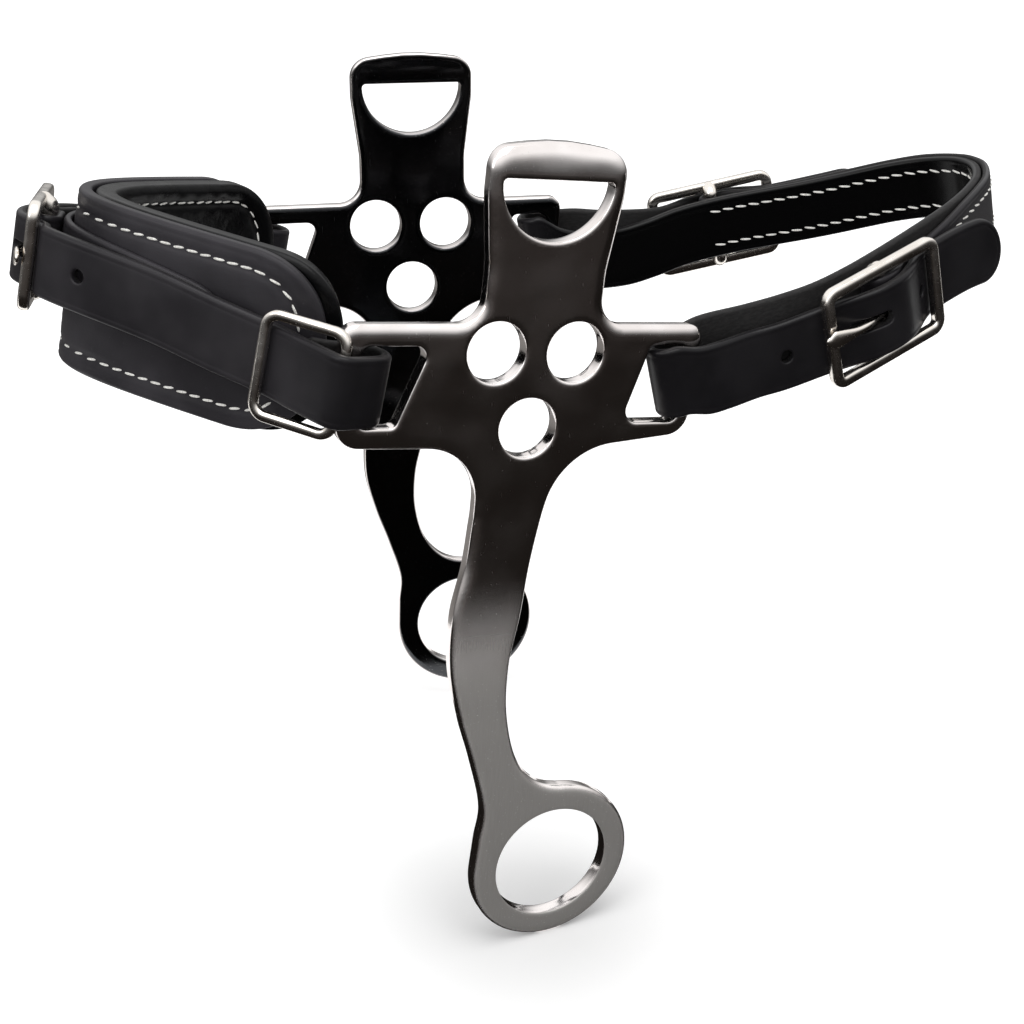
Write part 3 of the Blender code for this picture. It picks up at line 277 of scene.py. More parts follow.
def cheek_holes():
    """D eye, the two slots, the three round holes and the rein ring's bore."""
    turn = np.radians(np.linspace(-11.0, -169.0, 60))
    eye = rounded([(-EYE_RADIUS, -EYE_TOP_BAR, EYE_CORNER), (EYE_RADIUS, -EYE_TOP_BAR, EYE_CORNER)]
                  + [(EYE_RADIUS * math.cos(a), -EYE_TOP_BAR + EYE_RADIUS * math.sin(a), 0.0) for a in turn])
    foot = slot_top - SLOT_HEIGHT
    front_edge, rear_edge = front_bar_u + FRONT_BAR / 2.0, rear_bar_u - REAR_BAR / 2.0
    front = rounded([(front_edge, slot_top, SLOT_CORNER), (front_edge, foot, SLOT_CORNER),
                     (FRONT_SLOT_FOOT, foot, SLOT_CORNER * 0.7), (FRONT_SLOT_TOP, slot_top, SLOT_CORNER)])
    rear = rounded([(REAR_SLOT_TOP, slot_top, SLOT_CORNER * 0.7), (REAR_SLOT_FOOT, foot, SLOT_CORNER * 1.2),
                    (rear_edge, foot, SLOT_CORNER), (rear_edge, slot_top, SLOT_CORNER)])
    pair = [circle(-HOLE_OFFSET + side * HOLE_SPACING / 2.0, -HOLE_PAIR_DROP, HOLE_RADIUS)
            for side in (-1, 1)]
    return [eye, front, rear, *pair, circle(-HOLE_OFFSET, -LOWER_HOLE_DROP, HOLE_RADIUS),
            circle(RING_REACH, -RING_DROP, RING_INNER)]


def loop_distance(points, loop):
    """Shortest distance from each point to a closed line."""
    a, b = loop, np.roll(loop, -1, axis=0)
    along = b - a
    size = np.maximum((along ** 2).sum(1), 1e-12)
    best = []
    for part in np.array_split(points, max(1, len(points) // 1500)):
        gap = part[:, None, :] - a[None]
        t = np.clip((gap * along).sum(2) / size, 0.0, 1.0)
        best.append(np.sqrt(((gap - t[..., None] * along) ** 2).sum(2).min(1)))
    return np.concatenate(best)


def within(points, loop):
    """True where a point lies inside a closed line, by counting crossings."""
    a, b = loop, np.roll(loop, -1, axis=0)
    slope = (b[:, 0] - a[:, 0]) / np.where(b[:, 1] == a[:, 1], 1e-9, b[:, 1] - a[:, 1])
    odd = []
    for part in np.array_split(points, max(1, len(points) // 1500)):
        y = part[:, 1:]
        cross = ((b[:, 1] > y) != (a[:, 1] > y)) & (part[:, :1] < slope * (y - a[:, 1]) + a[:, 0])
        odd.append(cross.sum(1) % 2 == 1)
    return np.concatenate(odd)


def offset(loop, depth):
    """A closed line moved into the material, which lies to its left."""
    before, after = unit(loop - np.roll(loop, 1, axis=0)), unit(np.roll(loop, -1, axis=0) - loop)
    na = np.stack([-before[:, 1], before[:, 0]], axis=1)
    nb = np.stack([-after[:, 1], after[:, 0]], axis=1)
    mid = na + nb
    return loop + mid / np.maximum((mid * na).sum(1), 0.5)[:, None] * depth


def sheet_plan(outline, holes, rims, hole_rims, fine, band, coarse):
    """Triangles that fill a flat shape with holes: rows of points at the given depths
    inside each edge, a fine grid within band of an edge and a coarse one beyond it.
    Returns the points, triangles, edge loops and the distances to edge and holes."""
    def turned(loop, sign):
        spin = np.sum(loop[:, 0] * np.roll(loop[:, 1], -1) - np.roll(loop[:, 0], -1) * loop[:, 1])
        return loop if spin * sign > 0 else loop[::-1]

    loops = [even_loop(turned(outline, 1.0), fine)] + [even_loop(turned(h, -1.0), fine) for h in holes]
    rows = [offset(loops[0], d) for d in rims] + [offset(h, d) for h in loops[1:] for d in hole_rims]
    low, high = loops[0].min(0), loops[0].max(0)

    def grid(step):
        x = np.arange(low[0], high[0], step)
        y = np.arange(low[1], high[1], step * 0.866)
        gx, gy = np.meshgrid(x, y)
        gx = gx + np.where(np.arange(len(y)) % 2 == 0, 0.0, step / 2.0)[:, None]
        return np.stack([gx.ravel(), gy.ravel()], axis=1)

    def edges(points):
        away = np.stack([loop_distance(points, loop) for loop in loops[1:]] + [np.full(len(points), 1e3)])
        return loop_distance(points, loops[0]), away.min(0)

    close, far = grid(fine * 1.35), grid(coarse)
    kept = []
    for points, is_fine in ((close, True), (far, False)):
        points = points[within(points, loops[0])]
        for hole in loops[1:]:
            points = points[~within(points, hole)]
        d0, d1 = edges(points)
        near = np.minimum(d0, d1) < band
        clear = (d0 > max(rims) + fine * 0.6) & (d1 > max(hole_rims) + fine * 0.6)
        kept.append(points[clear & (near if is_fine else ~near)])
    spots = np.vstack(loops + rows + kept)
    ends = np.cumsum([0] + [len(loop) for loop in loops])
    borders = [np.stack([np.arange(a, b), np.roll(np.arange(a, b), -1)], axis=1) for a, b in
               zip(ends[:-1], ends[1:])]
    found = delaunay_2d_cdt(spots.tolist(), np.vstack(borders).tolist(), [], 0, 1e-5)
    plan, tris = np.array(found[0]), np.array(found[2])
    middle = plan[tris].mean(1)
    keep = within(middle, loops[0])
    for hole in loops[1:]:
        keep &= ~within(middle, hole)
    source = {old[0]: new for new, old in enumerate(found[3]) if old}
    borders = [np.array([source[k] for k in range(a, b)]) for a, b in zip(ends[:-1], ends[1:])]
    return plan, tris[keep], borders, *edges(plan)


def solid_sheet(plan, tris, borders, front, back, wall_rows=2):
    """Points (x, y, height) and faces of a sheet whose two sides stand at the heights
    front and back, joined round each edge by a wall of wall_rows rows."""
    count = len(plan)
    points = [np.column_stack([plan, front]), np.column_stack([plan, back])]
    faces = [tris, tris[:, ::-1] + count]
    used = 2 * count
    for ring in borders:
        t = np.linspace(0.0, 1.0, wall_rows + 1)[1:-1, None]
        size = len(ring)
        rows = front[ring] * (1.0 - t) + back[ring] * t
        inner = np.column_stack([np.tile(plan[ring], (wall_rows - 1, 1)), rows.ravel()])
        index = np.vstack([ring, used + np.arange(inner.shape[0]).reshape(-1, size), ring + count])
        upper, lower = index[:-1], index[1:]
        quads = np.stack([upper, lower, np.roll(lower, -1, axis=1), np.roll(upper, -1, axis=1)], axis=2)
        points.append(inner)
        faces.append(halves(quads.reshape(-1, 4)))
        used += len(inner)
    return np.vstack(points), np.vstack(faces)


def pillow(distance, reach, depth, soft=1.0):
    """How far a ground edge falls: an ellipse that starts square to the face, with a
    slower start for a higher soft."""
    t = (1.0 - np.clip(distance / reach, 0.0, 1.0)) ** soft
    return depth * (1.0 - np.sqrt(np.maximum(1.0 - t * t, 0.0)))


def piece(name, points, faces, material, body, nodes, pattern=None, marks=None, smooth_angle=60.0):
    """One finished mesh in metres, riding on its body in place of its CAD nodes.
    pattern is a pair of pattern coordinates for each point, marks holds other values
    by name. The faces turn outward: the sum of a . (b x c) over them is positive."""
    first, volume = points[faces[:, 0]], 0.0
    for k in range(1, faces.shape[1] - 1):
        volume += np.sum(first * np.cross(points[faces[:, k]], points[faces[:, k + 1]]))
    if volume < 0.0:
        faces = faces[:, ::-1]
    mesh = bpy.data.meshes.new(name)
    mesh.from_pydata((points * MM).tolist(), [], faces.tolist())
    mesh.update()
    if pattern is not None:
        layer = mesh.uv_layers.new(name="pattern")
        corner = np.zeros(len(mesh.loops), np.int32)
        mesh.loops.foreach_get("vertex_index", corner)
        layer.data.foreach_set("uv", (pattern[corner] * MM).astype(np.float32).ravel())
    for key, values in (marks or {}).items():
        mesh.attributes.new(key, "FLOAT", "POINT").data.foreach_set("value", values.astype(np.float32))
    mesh.shade_smooth()
    mesh.set_sharp_from_angle(angle=math.radians(smooth_angle))
    mesh.materials.append(material)
    made = bpy.data.objects.new(name, mesh)
    bpy.context.scene.collection.objects.link(made)
    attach(made, body)
    if nodes:
        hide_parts(*nodes)
    return made


def node_kit(tree):
    """Functions that add nodes to a node tree and join them. Where a value may be a
    socket, a number or a colour, put sorts out which."""
    def add(kind, **settings):
        node = tree.nodes.new(kind)
        for key, value in settings.items():
            if hasattr(node, key):
                setattr(node, key, value)
            else:
                node.inputs[key.replace("_", " ").title()].default_value = value
        return node

    def join(source, target):
        tree.links.new(source, target)

    def put(value, socket):
        if isinstance(value, bpy.types.NodeSocket):
            join(value, socket)
        elif socket.type == "RGBA":
            socket.default_value = (value,) * 3 + (1.0,) if isinstance(value, float) else (*value, 1.0)
        else:
            socket.default_value = value

    def blend(factor, first, second):
        """Colour or grey mix of two values by a factor."""
        node = add("ShaderNodeMix", data_type="RGBA")
        put(factor, node.inputs["Factor"])
        put(first, node.inputs[6])
        put(second, node.inputs[7])
        return node.outputs[2]

    def noise(vector, scale, detail=3.0, rough=0.5):
        node = add("ShaderNodeTexNoise", scale=scale, detail=detail, roughness=rough)
        join(vector, node.inputs["Vector"])
        return node.outputs["Fac"]

    def cells(vector, scale):
        node = add("ShaderNodeTexVoronoi", feature="SMOOTH_F1", scale=scale)
        join(vector, node.inputs["Vector"])
        return node.outputs["Distance"]

    def stretch(vector, scale):
        node = add("ShaderNodeMapping")
        node.inputs["Scale"].default_value = scale
        join(vector, node.inputs["Vector"])
        return node.outputs["Vector"]

    def split(vector):
        node = add("ShaderNodeSeparateXYZ")
        join(vector, node.inputs["Vector"])
        return node.outputs

    def span(value, low, high, to_low=0.0, to_high=1.0):
        """Map low to high onto to_low to to_high, smoothly and clamped."""
        node = add("ShaderNodeMapRange", interpolation_type="SMOOTHSTEP")
        for key, end in (("From Min", low), ("From Max", high), ("To Min", to_low), ("To Max", to_high)):
            put(end, node.inputs[key])
        join(value, node.inputs["Value"])
        return node.outputs["Result"]

    def bump(height, strength, distance, below=None):
        node = add("ShaderNodeBump")
        node.inputs["Strength"].default_value = strength
        node.inputs["Distance"].default_value = distance
        join(height, node.inputs["Height"])
        if below is not None:
            join(below, node.inputs["Normal"])
        return node.outputs["Normal"]

    def mark(key):
        return add("ShaderNodeAttribute", attribute_name=key).outputs["Fac"]

    return SimpleNamespace(add=add, join=join, put=put, blend=blend, noise=noise, cells=cells,
                           stretch=stretch, split=split, span=span, bump=bump, mark=mark)


def new_material(name, **plain):
    """An empty Principled material and its kit of nodes: place is the point in the
    piece's own metres, pattern its pattern coordinates, give sets an input of the
    shader, as the plain values do."""
    mat = bpy.data.materials.new(name)
    mat.use_nodes = True
    kit = node_kit(mat.node_tree)
    shader = mat.node_tree.nodes["Principled BSDF"]
    place = kit.add("ShaderNodeTexCoord")
    kit.place, kit.pattern = place.outputs["Object"], place.outputs["UV"]
    kit.give = lambda key, value: kit.put(value, shader.inputs[key])
    for key, value in plain.items():
        kit.give(key.replace("_", " ").title().replace("Ior", "IOR"), value)
    return mat, kit


def cheek_steel():
    """Steel: mirror polish on head and wings, satin on shank and ring, small specks,
    fine lines of the polishing wheel and a slight waviness in the reflections."""
    mat, t = new_material("cheek_steel")
    drop = t.split(t.pattern)["Y"]
    outer_face = t.mark("outer_face")
    satin = t.blend(t.span(outer_face, 0.80, 0.97), 0.0, t.span(drop, -0.114, -0.152))
    inner_shade_mask = t.span(outer_face, 0.02, 0.14, 1.0, 0.0)
    cloud = t.noise(t.place, 55.0, 4.0)
    grain = t.noise(t.stretch(t.pattern, (3400.0, 150.0, 1.0)), 1.0, 3.0, 0.55)
    wheel = t.noise(t.stretch(t.pattern, (500.0, 6000.0, 1.0)), 1.0, 3.0, 0.6)
    specks = t.span(t.noise(t.place, 2600.0, 1.0), 0.735, 0.76)
    scratch = t.span(t.noise(t.stretch(t.place, (3800.0, 3800.0, 240.0)), 1.0, 2.0), 0.735, 0.75)
    polished = t.blend(t.span(cloud, 0.35, 0.7), (0.78, 0.73, 0.71), (0.90, 0.86, 0.845))
    # Painted shade: the plate's inner faces get a near-black colour, far darker than the polished outer
    # faces.
    polished = t.blend(inner_shade_mask, polished, (0.065, 0.067, 0.071))
    brushed = t.blend(t.span(grain, 0.3, 0.7), (0.303, 0.290, 0.278), (0.326, 0.314, 0.300))
    colour = t.blend(satin, polished, brushed)
    colour = t.blend(specks, colour, (0.62, 0.6, 0.58))
    t.give("Base Color", colour)
    t.give("Metallic", t.blend(satin, 1.0, 0.35))
    smear = t.span(cloud, 0.3, 0.75, 0.09, 0.18)
    rough = t.blend(satin, smear, t.span(grain, 0.3, 0.7, 0.36, 0.46))
    rough = t.blend(t.span(scratch, 0.0, 1.0, 0.0, 0.6), rough, 0.45)
    t.give("Roughness", rough)
    wavy = t.bump(t.noise(t.place, 62.0, 1.0), 0.35, 0.0011)
    lines = t.bump(t.blend(satin, wheel, grain), 0.025, 0.0002, wavy)
    t.give("Normal", t.bump(t.blend(specks, scratch, 1.0), 0.10, 0.00025, lines))
    return mat


def plate_axes(side):
    """Place of the front bar and the plate's axes: u rearward, v up, w outward."""
    lean, toe = math.radians(PLATE_LEAN[side]), math.radians(PLATE_TOE)
    s, c = math.sin(lean), math.cos(lean)
    u = np.array([c * math.cos(toe), -side * c * math.sin(toe), -s])
    v = np.array([s * math.cos(toe), -side * s * math.sin(toe), c])
    w = np.array([math.sin(toe), side * math.cos(toe), 0.0])
    return np.array(FRONT_BAR_PLACE) * (1.0, side, 1.0), u, v, w


plan, tris, borders, to_edge, to_hole = sheet_plan(
    cheek_outline(), cheek_holes(), rims=(0.06, 0.22, 0.5, 0.9), hole_rims=(0.05, 0.16, 0.4, 0.8),
    fine=0.55, band=4.8, coarse=2.2)
hole_fall = pillow(to_hole, HOLE_RIM_REACH, HOLE_RIM_DEPTH)
fall = pillow(to_edge, RIM_REACH, RIM_DEPTH, RIM_SOFT) + hole_fall
back_fall = pillow(to_edge, BACK_RIM_REACH, BACK_RIM_DEPTH) + hole_fall
half = PLATE_THICKNESS / 2.0
cheek_points, cheek_faces = solid_sheet(plan, tris, borders, half - fall, back_fall - half, 3)
outer_face = np.clip(cheek_points[:, 2] / half * 0.5 + 0.5, 0.0, 1.0)
bend = np.clip(1.0 + cheek_points[:, 1] / EYE_TOP_BAR, 0.0, 1.0)
swing = np.clip((-cheek_points[:, 1] - FLARE_START) / (FLARE_END - FLARE_START), 0.0, 1.0)
cheek_points[:, 2] += FLARE * ease(swing) - HEAD_BEND * bend ** 2
steel = cheek_steel()
for side, word in ((-1, "near"), (1, "far")):
    start, u, v, w = plate_axes(side)
    x, y, z = cheek_points.T[..., None]
    placed = start + (x - front_bar_u) * u + (y - slot_mid) * v + z * w
    piece(word + "_cheek", placed, cheek_faces, steel, word + "_cheek", [word + "_cheek_plate"],
          cheek_points[:, :2], {"outer_face": outer_face})

# Nose pad. A padded lining turned over soft filling, sewn inside a shell of firm
# leather; the band is bent to a rounded V over the nose. White rows of stitching
# follow both long edges and the round ends.
NOSE_RISE = 12.8
NOSE_TAPER = 0.74
NOSE_BEND = 10.3
NOSE_REACH = 53.0
NOSE_EASE_START = 36.0
NOSE_EASE = 0.02
PAD_HEIGHT = 46.4
LINING = 6.6
LINING_CROWN = 1.4
SHELL = 3.8
SHELL_SETBACK = 3.5
PAD_END = 19.0
PAD_GAP = 0.5
PAD_ROUND = 2.4
BEAD = 3.6
BEAD_FALL = 1.6
BEAD_SWELL = 0.35
LINING_SEAM = 0.75
RIPPLE = 0.10
SHELL_CREASE = (2.0, 0.16)
SHELL_SEAM = 0.38
SHELL_BELLY = 0.25
STITCH_DEPTH = 5.2


class Band:
    """A band's own frame: p along its plane, q to the side, v across it."""

    def __init__(self, origin, rise):
        self.origin = np.array(origin, float)
        c, s = math.cos(math.radians(rise)), math.sin(math.radians(rise))
        self.axes = np.array([[c, 0.0, -s], [0.0, 1.0, 0.0], [s, 0.0, c]])

    def world(self, points):
        return self.origin + np.asarray(points, float) @ self.axes

    def way(self, direction):
        return np.array([direction[0], direction[1], 0.0]) @ self.axes

    def local(self, point):
        return self.axes @ (np.asarray(point, float) - self.origin)


class Line:
    """A band's inner line, with points at arc length s and distance d outside it."""

    def __init__(self, p, w):
        way = np.stack([np.gradient(p), np.gradient(w)], axis=1)
        way[0] = (0.0, 1.0)
        self.way = unit(way)
        self.p, self.w = p, w
        self.s = np.concatenate([[0.0], np.cumsum(np.hypot(np.diff(p), np.diff(w)))])

    def at(self, s, d):
        a, side = np.abs(s), np.where(np.asarray(s) < 0, -1.0, 1.0)
        p, w = np.interp(a, self.s, self.p), np.interp(a, self.s, self.w)
        tp, tw = np.interp(a, self.s, self.way[:, 0]), np.interp(a, self.s, self.way[:, 1])
        return np.stack([p - d * tw, side * (w + d * tp)], axis=-1)

    def nearest(self, measure, d):
        """Arc length at which a measure of the points at distance d is smallest."""
        grid = np.linspace(0.0, self.s[-1], 4000)
        return float(grid[np.abs(measure(self.at(grid, d))).argmin()])

    def s_of(self, p, d=0.0):
        return self.nearest(lambda pts: pts[:, 0] - p, d)


nose = Band((0.0, 0.0, 0.0), NOSE_RISE)
grid_p = np.linspace(0.0, 1.0, 900) ** 2 * (NOSE_REACH + 12.0)
nose_line = Line(grid_p, np.sqrt((NOSE_TAPER * grid_p) ** 2 + 2.0 * NOSE_BEND * grid_p)
                 - NOSE_EASE * np.maximum(grid_p - NOSE_EASE_START, 0.0) ** 2)
pad_end = nose_line.s_of(NOSE_REACH)
shell_inner = LINING + PAD_GAP
pad_outer = shell_inner + SHELL


def pad_outline(end, shrink=0.0):
    """Flat outline of a pad layer in (s, v): straight sides and round ends,
    v = H/2 (1 - t^2.4)^(1/2.4) over the last stretch, moved in by shrink."""
    t = np.sin(np.linspace(0.0, math.pi / 2.0, 60))
    v = PAD_HEIGHT / 2.0 * (1.0 - t ** PAD_ROUND) ** (1.0 / PAD_ROUND)
    quarter = np.stack([end - PAD_END + PAD_END * t, v], axis=1)
    right = np.vstack([quarter * (1.0, -1.0), quarter[::-1][1:]])
    loop = np.vstack([right, right[::-1] * (-1.0, 1.0)])
    if shrink:
        loop = offset(even_loop(loop, 1.0), shrink)
    return loop


def pad_layer(name, end, front, back, material, nodes):
    """A layer whose inner and outer faces stand at depths given by front and back,
    functions of (s, v, distance from the edge)."""
    plan, tris, borders, to_edge = sheet_plan(pad_outline(end), [], rims=(0.08, 0.3, 0.7, 1.2, 1.8),
                                              hole_rims=(0.0,), fine=0.8, band=8.0, coarse=1.5)[:4]
    outer = back(*plan.T, to_edge)
    inner = front(*plan.T, to_edge)
    flat, faces = solid_sheet(plan, tris, borders, outer, inner, 4)
    pq = nose_line.at(flat[:, 0], flat[:, 2])
    placed = nose.world(np.column_stack([pq, flat[:, 1]]))
    return piece(name, placed, faces, material, "noseband", nodes, flat[:, :2])


def black_leather(name, tone, rough, grain, wrinkle):
    """Black leather: fine pores, broad tone change, dull and shiny patches from
    handling and, where it is soft, shallow wrinkles."""
    mat, t = new_material(name, specular_ior_level=0.16)
    patch = t.noise(t.place, 38.0, 3.0)
    dust = t.span(t.noise(t.place, 900.0, 2.0, 0.7), 0.66, 0.80)
    colour = t.blend(t.span(patch, 0.3, 0.7), [c * 0.7 for c in tone], [c * 1.25 for c in tone])
    colour = t.blend(t.span(dust, 0.0, 1.0, 0.0, 0.18), colour, [c * 2.6 for c in tone])
    t.give("Base Color", colour)
    t.give("Roughness", t.span(patch, 0.28, 0.74, rough - 0.05, rough + 0.09))
    soft = t.bump(t.noise(t.place, 130.0, 3.0), wrinkle, 0.0010)
    pores = t.bump(t.cells(t.place, grain), 0.10, 0.00012, soft)
    t.give("Normal", t.bump(t.noise(t.place, grain * 1.7, 3.0), 0.12, 0.00010, pores))
    return mat


# The lining's tone is near black, far darker than the shell's: partly the lining leather's own black, partly
# painted shade for the pad's inner faces.
lining_leather = black_leather("lining_leather", (0.0022, 0.0022, 0.0026), 0.25, 1500.0, 0.30)
shell_leather = black_leather("shell_leather", (0.0330, 0.0308, 0.0352), 0.36, 1300.0, 0.16)


def lining_inner(s, v, e):
    """Crowned over the filling, pulled down along the seam, a round bead outside it."""
    crown = LINING_CROWN * np.clip((e - STITCH_DEPTH) / 12.0, 0.0, 1.0) ** 0.6
    seam = LINING_SEAM * hump(e, STITCH_DEPTH, 1.1)
    bead = pillow(e, BEAD, BEAD_FALL) - BEAD_SWELL * hump(e, BEAD * 0.75, 1.6)
    ripple = RIPPLE * np.sin(s * 0.9 + 1.3 * np.sin(v * 0.21)) * hump(e, STITCH_DEPTH, 3.0)
    return -crown + seam + bead + ripple


def lining_outer(s, v, e):
    """The lining's outer face, one thickness out, rounded at its edge."""
    return LINING - pillow(e, 2.2, 1.4)


def shell_face_out(s, v, e):
    """Firm leather: rounded edge, a creased line, then the seam it is sewn down by."""
    crease = SHELL_CREASE[1] * hump(e, SHELL_CREASE[0], 0.35)
    seam = SHELL_SEAM * hump(e, STITCH_DEPTH, 0.9)
    belly = SHELL_BELLY * (np.clip((e - STITCH_DEPTH) / 8.0, 0.0, 1.0) - 1.0)
    return pad_outer + belly - pillow(e, 1.5, 1.1) - crease - seam


def shell_face_in(s, v, e):
    """The shell's inner face, flat on the lining and rounded at its edge."""
    return shell_inner + pillow(e, 0.9, 0.7)


lining = pad_layer("pad_lining", pad_end, lining_inner, lining_outer, lining_leather,
                   ["nose_pad_lining"])
pad_layer("pad_shell", pad_end - SHELL_SETBACK, shell_face_in, shell_face_out, shell_leather,
          ["nose_pad_shell"])

# Stitching of the pad. One waxed white thread, sewn by hand right through shell
# and lining 5 mm inside the edge, so a row shows on both faces; each stitch lies a
# little aslant and its ends sink into their holes.
STITCH_PITCH = 3.75
STITCH_LENGTH = 3.3
STITCH_THICK = 0.68
STITCH_SLANT = 8.0
STITCH_STRAY = 4.0


def stitch_row(spots, ways, outs, slant=STITCH_SLANT, length=STITCH_LENGTH, thick=STITCH_THICK):
    """A row of small barrels as points and faces. Along each, x = L t / 2, the radius is
    r = T/2 (1 - t^2)^(1/3) and the middle drops by 0.3 T t^4 into the leather."""
    t = np.array([-0.97, -0.72, -0.3, 0.3, 0.72, 0.97])
    turn = np.radians(np.arange(0.0, 360.0, 60.0))
    radius = thick / 2.0 * (1.0 - t * t) ** (1.0 / 3.0)
    x = np.repeat(length / 2.0 * t, 6)
    y = (radius[:, None] * np.cos(turn)).ravel()
    z = (radius[:, None] * np.sin(turn) * 0.85 - 0.3 * thick * t[:, None] ** 4).ravel() + 0.18 * thick
    ends = np.array([[-length / 2.0, 0.0, -0.2 * thick], [length / 2.0, 0.0, -0.2 * thick]])
    shape = np.vstack([np.column_stack([x, y, z]), ends])
    k = np.arange(30)
    after = k - k % 6 + (k + 1) % 6
    around, step = np.arange(6), (np.arange(6) + 1) % 6
    faces = np.vstack([np.column_stack([k, k + 6, after]), np.column_stack([after, k + 6, after + 6]),
                       np.column_stack([around, step, np.full(6, 36)]),
                       np.column_stack([step + 30, around + 30, np.full(6, 37)])])
    outs = unit(outs)
    sides = unit(np.cross(outs, ways))
    ways = np.cross(sides, outs)
    lean = np.radians(slant + STITCH_STRAY * np.sin(np.arange(len(spots)) ** 2 * 1.7))[:, None]
    c, s = np.cos(lean), np.sin(lean)
    axes = np.stack([c * ways + s * sides, c * sides - s * ways, outs], axis=1)
    points = spots[:, None, :] + np.einsum("ni,mij->mnj", shape, axes)
    index = faces[None] + 38 * np.arange(len(spots))[:, None, None]
    pattern = np.tile(shape[:, :2], (len(spots), 1))
    return points.reshape(-1, 3), index.reshape(-1, 3), pattern


def waxed_thread():
    """White waxed linen: a twist seen as slanted lines, a little grime in patches."""
    mat, t = new_material("waxed_thread", roughness=0.75)
    twist = t.noise(t.stretch(t.place, (2600.0, 2600.0, 900.0)), 1.0, 2.0, 0.6)
    grime = t.span(t.noise(t.place, 240.0, 2.0), 0.52, 0.76)
    colour = t.blend(t.span(twist, 0.3, 0.62), (0.60, 0.585, 0.55), (0.93, 0.92, 0.88))
    t.give("Base Color", t.blend(t.span(grime, 0.0, 1.0, 0.0, 0.35), colour, (0.42, 0.40, 0.37)))
    t.give("Normal", t.bump(twist, 0.5, 0.00015))
    return mat


def pad_place(s, v, d):
    """World place of run s, height v and depth d of the pad."""
    return nose.world(np.column_stack([nose_line.at(s, d), v]))


def pad_stitches(name, end, face, outward):
    """A closed row STITCH_DEPTH inside a layer's edge, on the face it is seen on."""
    ring = offset(even_loop(pad_outline(end), 0.5), STITCH_DEPTH)
    run = np.sum(np.linalg.norm(ring - np.roll(ring, 1, axis=0), axis=1))
    ring = even_loop(ring, run / round(run / STITCH_PITCH))
    s, v = ring.T
    way = np.roll(ring, -1, axis=0) - np.roll(ring, 1, axis=0)
    way = unit(way) * 0.1
    d = face(s, v, np.full(len(s), STITCH_DEPTH))
    spots = pad_place(s, v, d)
    ways = pad_place(s + way[:, 0], v + way[:, 1], d) - spots
    outs = (pad_place(s, v, d + 1.0) - spots) * outward
    points, faces, pattern = stitch_row(spots, ways, outs)
    piece(name, points, faces, thread, "noseband", [], pattern)


thread = waxed_thread()
pad_stitches("pad_outer_stitches", pad_end - SHELL_SETBACK, shell_face_out, 1.0)
pad_stitches("pad_inner_stitches", pad_end, lining_inner, -1.0)

# Guard strip. A plain strip of the shell's leather laid round the front between
# pad and straps, so that the buckle doesn't rub; it is held by the straps over it.
STRAP_WIDTH = 18.4
STRAP = 2.8
PLY_GAP = 0.42
SLOT_GAP = 1.2
FRONT_SLACK = 4.7
FRONT_SAG = 0.4
GUARD_WIDTH = 17.0
GUARD = 2.0
GUARD_REACH = 33.0
GUARD_TIP = 13.0
GUARD_LIFT = 1.2
CREASE = 1.9
CREASE_DEPTH = 0.07
# Run over which the painted shade on the straps eases in.
PAINTED_SHADE_EASE = 12.0
FRONT_LIFT = 5.0

strap_half = STRAP / 2.0
fold_radius = PLATE_THICKNESS / 2.0 + SLOT_GAP + strap_half
front_fold = FRONT_BAR / 2.0 + FRONT_SLACK - (fold_radius - strap_half)
bar_local, fold_height = {}, {}
for side in (-1, 1):
    bar_centre, along_u = plate_axes(side)[:2]
    bar_local[side] = nose.local(bar_centre)
    fold_height[side] = nose.local(bar_centre + (front_fold + fold_radius) * along_u)[2] - FRONT_SAG


def nose_height(p, side):
    """Height of a nose strap's middle: it rises from its slot to the front, as
    h = low + (lift - low)(3 t^2 - 2 t^3)."""
    low = fold_height[side]
    t = np.clip((bar_local[-1][0] - p) / (bar_local[-1][0] + 16.0), 0.0, 1.0)
    return low + (FRONT_LIFT - low) * ease(t)


class Strap:
    """A strap laid along a line of (p, q, v) points in a band's frame. Its own
    coordinates are the run along it, the height across it and the depth out of it."""

    def __init__(self, frame, line):
        fine = line_through(line, 0.5, 3.0)
        flat = frame.world(fine * (1.0, 1.0, 0.0))
        self.way = unit(np.gradient(flat, axis=0))
        self.up = frame.axes[2]
        self.out = np.cross(self.way, self.up)
        self.centre, self.plan = frame.world(fine), fine[:, :2]
        self.run = run_along(flat)
        self.length = self.run[-1]

    def along(self, rows, run):
        return np.stack([np.interp(run, self.run, rows[:, k]) for k in range(3)], axis=-1)

    def at(self, run, across, depth):
        out = unit(self.along(self.out, run))
        return self.along(self.centre, run) + across[:, None] * self.up + depth[:, None] * out

    def inside(self, middle, way, length, out, depth):
        """First and last run of the stations that lie in a rectangle of the plan."""
        gap = self.plan - middle
        held = (np.abs(gap @ way) < length / 2.0) & (np.abs(gap @ out) < depth / 2.0)
        return self.run[held][0], self.run[held][-1]


def strap_outline(length, width, tips):
    """A strap cut flat, counted round anticlockwise. An end with a tip is round,
    x = tip (1 - cos t), y = w/2 sin t; a cut end has small corners."""
    def cap(tip):
        t = np.linspace(0.0, math.pi / 2.0, 24)
        tip = tip or 1.0
        side = min(tip, width / 2.0)
        y = width / 2.0 * np.sin(t) if tip > 1.0 else width / 2.0 - side + side * np.sin(t)
        return np.stack([tip * (1.0 - np.cos(t)), y], axis=1)

    start, end = cap(tips[0]), cap(tips[1])
    lower, upper = (1.0, -1.0), (1.0, 1.0)
    first = start * lower
    last = np.array([length, 0.0]) + end * (-1.0, 1.0)
    return np.vstack([first, (last * lower)[::-1], last * upper, (start * upper)[::-1]])


def oval(x, y, length, width):
    """Round-ended slot of the given length and width."""
    r, t = width / 2.0, np.linspace(0.0, math.pi, 24)
    reach = max(length / 2.0 - r, 0.0)
    right = np.stack([x + reach + r * np.sin(t), y - r * np.cos(t)], axis=1)
    return np.vstack([right, 2.0 * np.array([x, y]) - right])


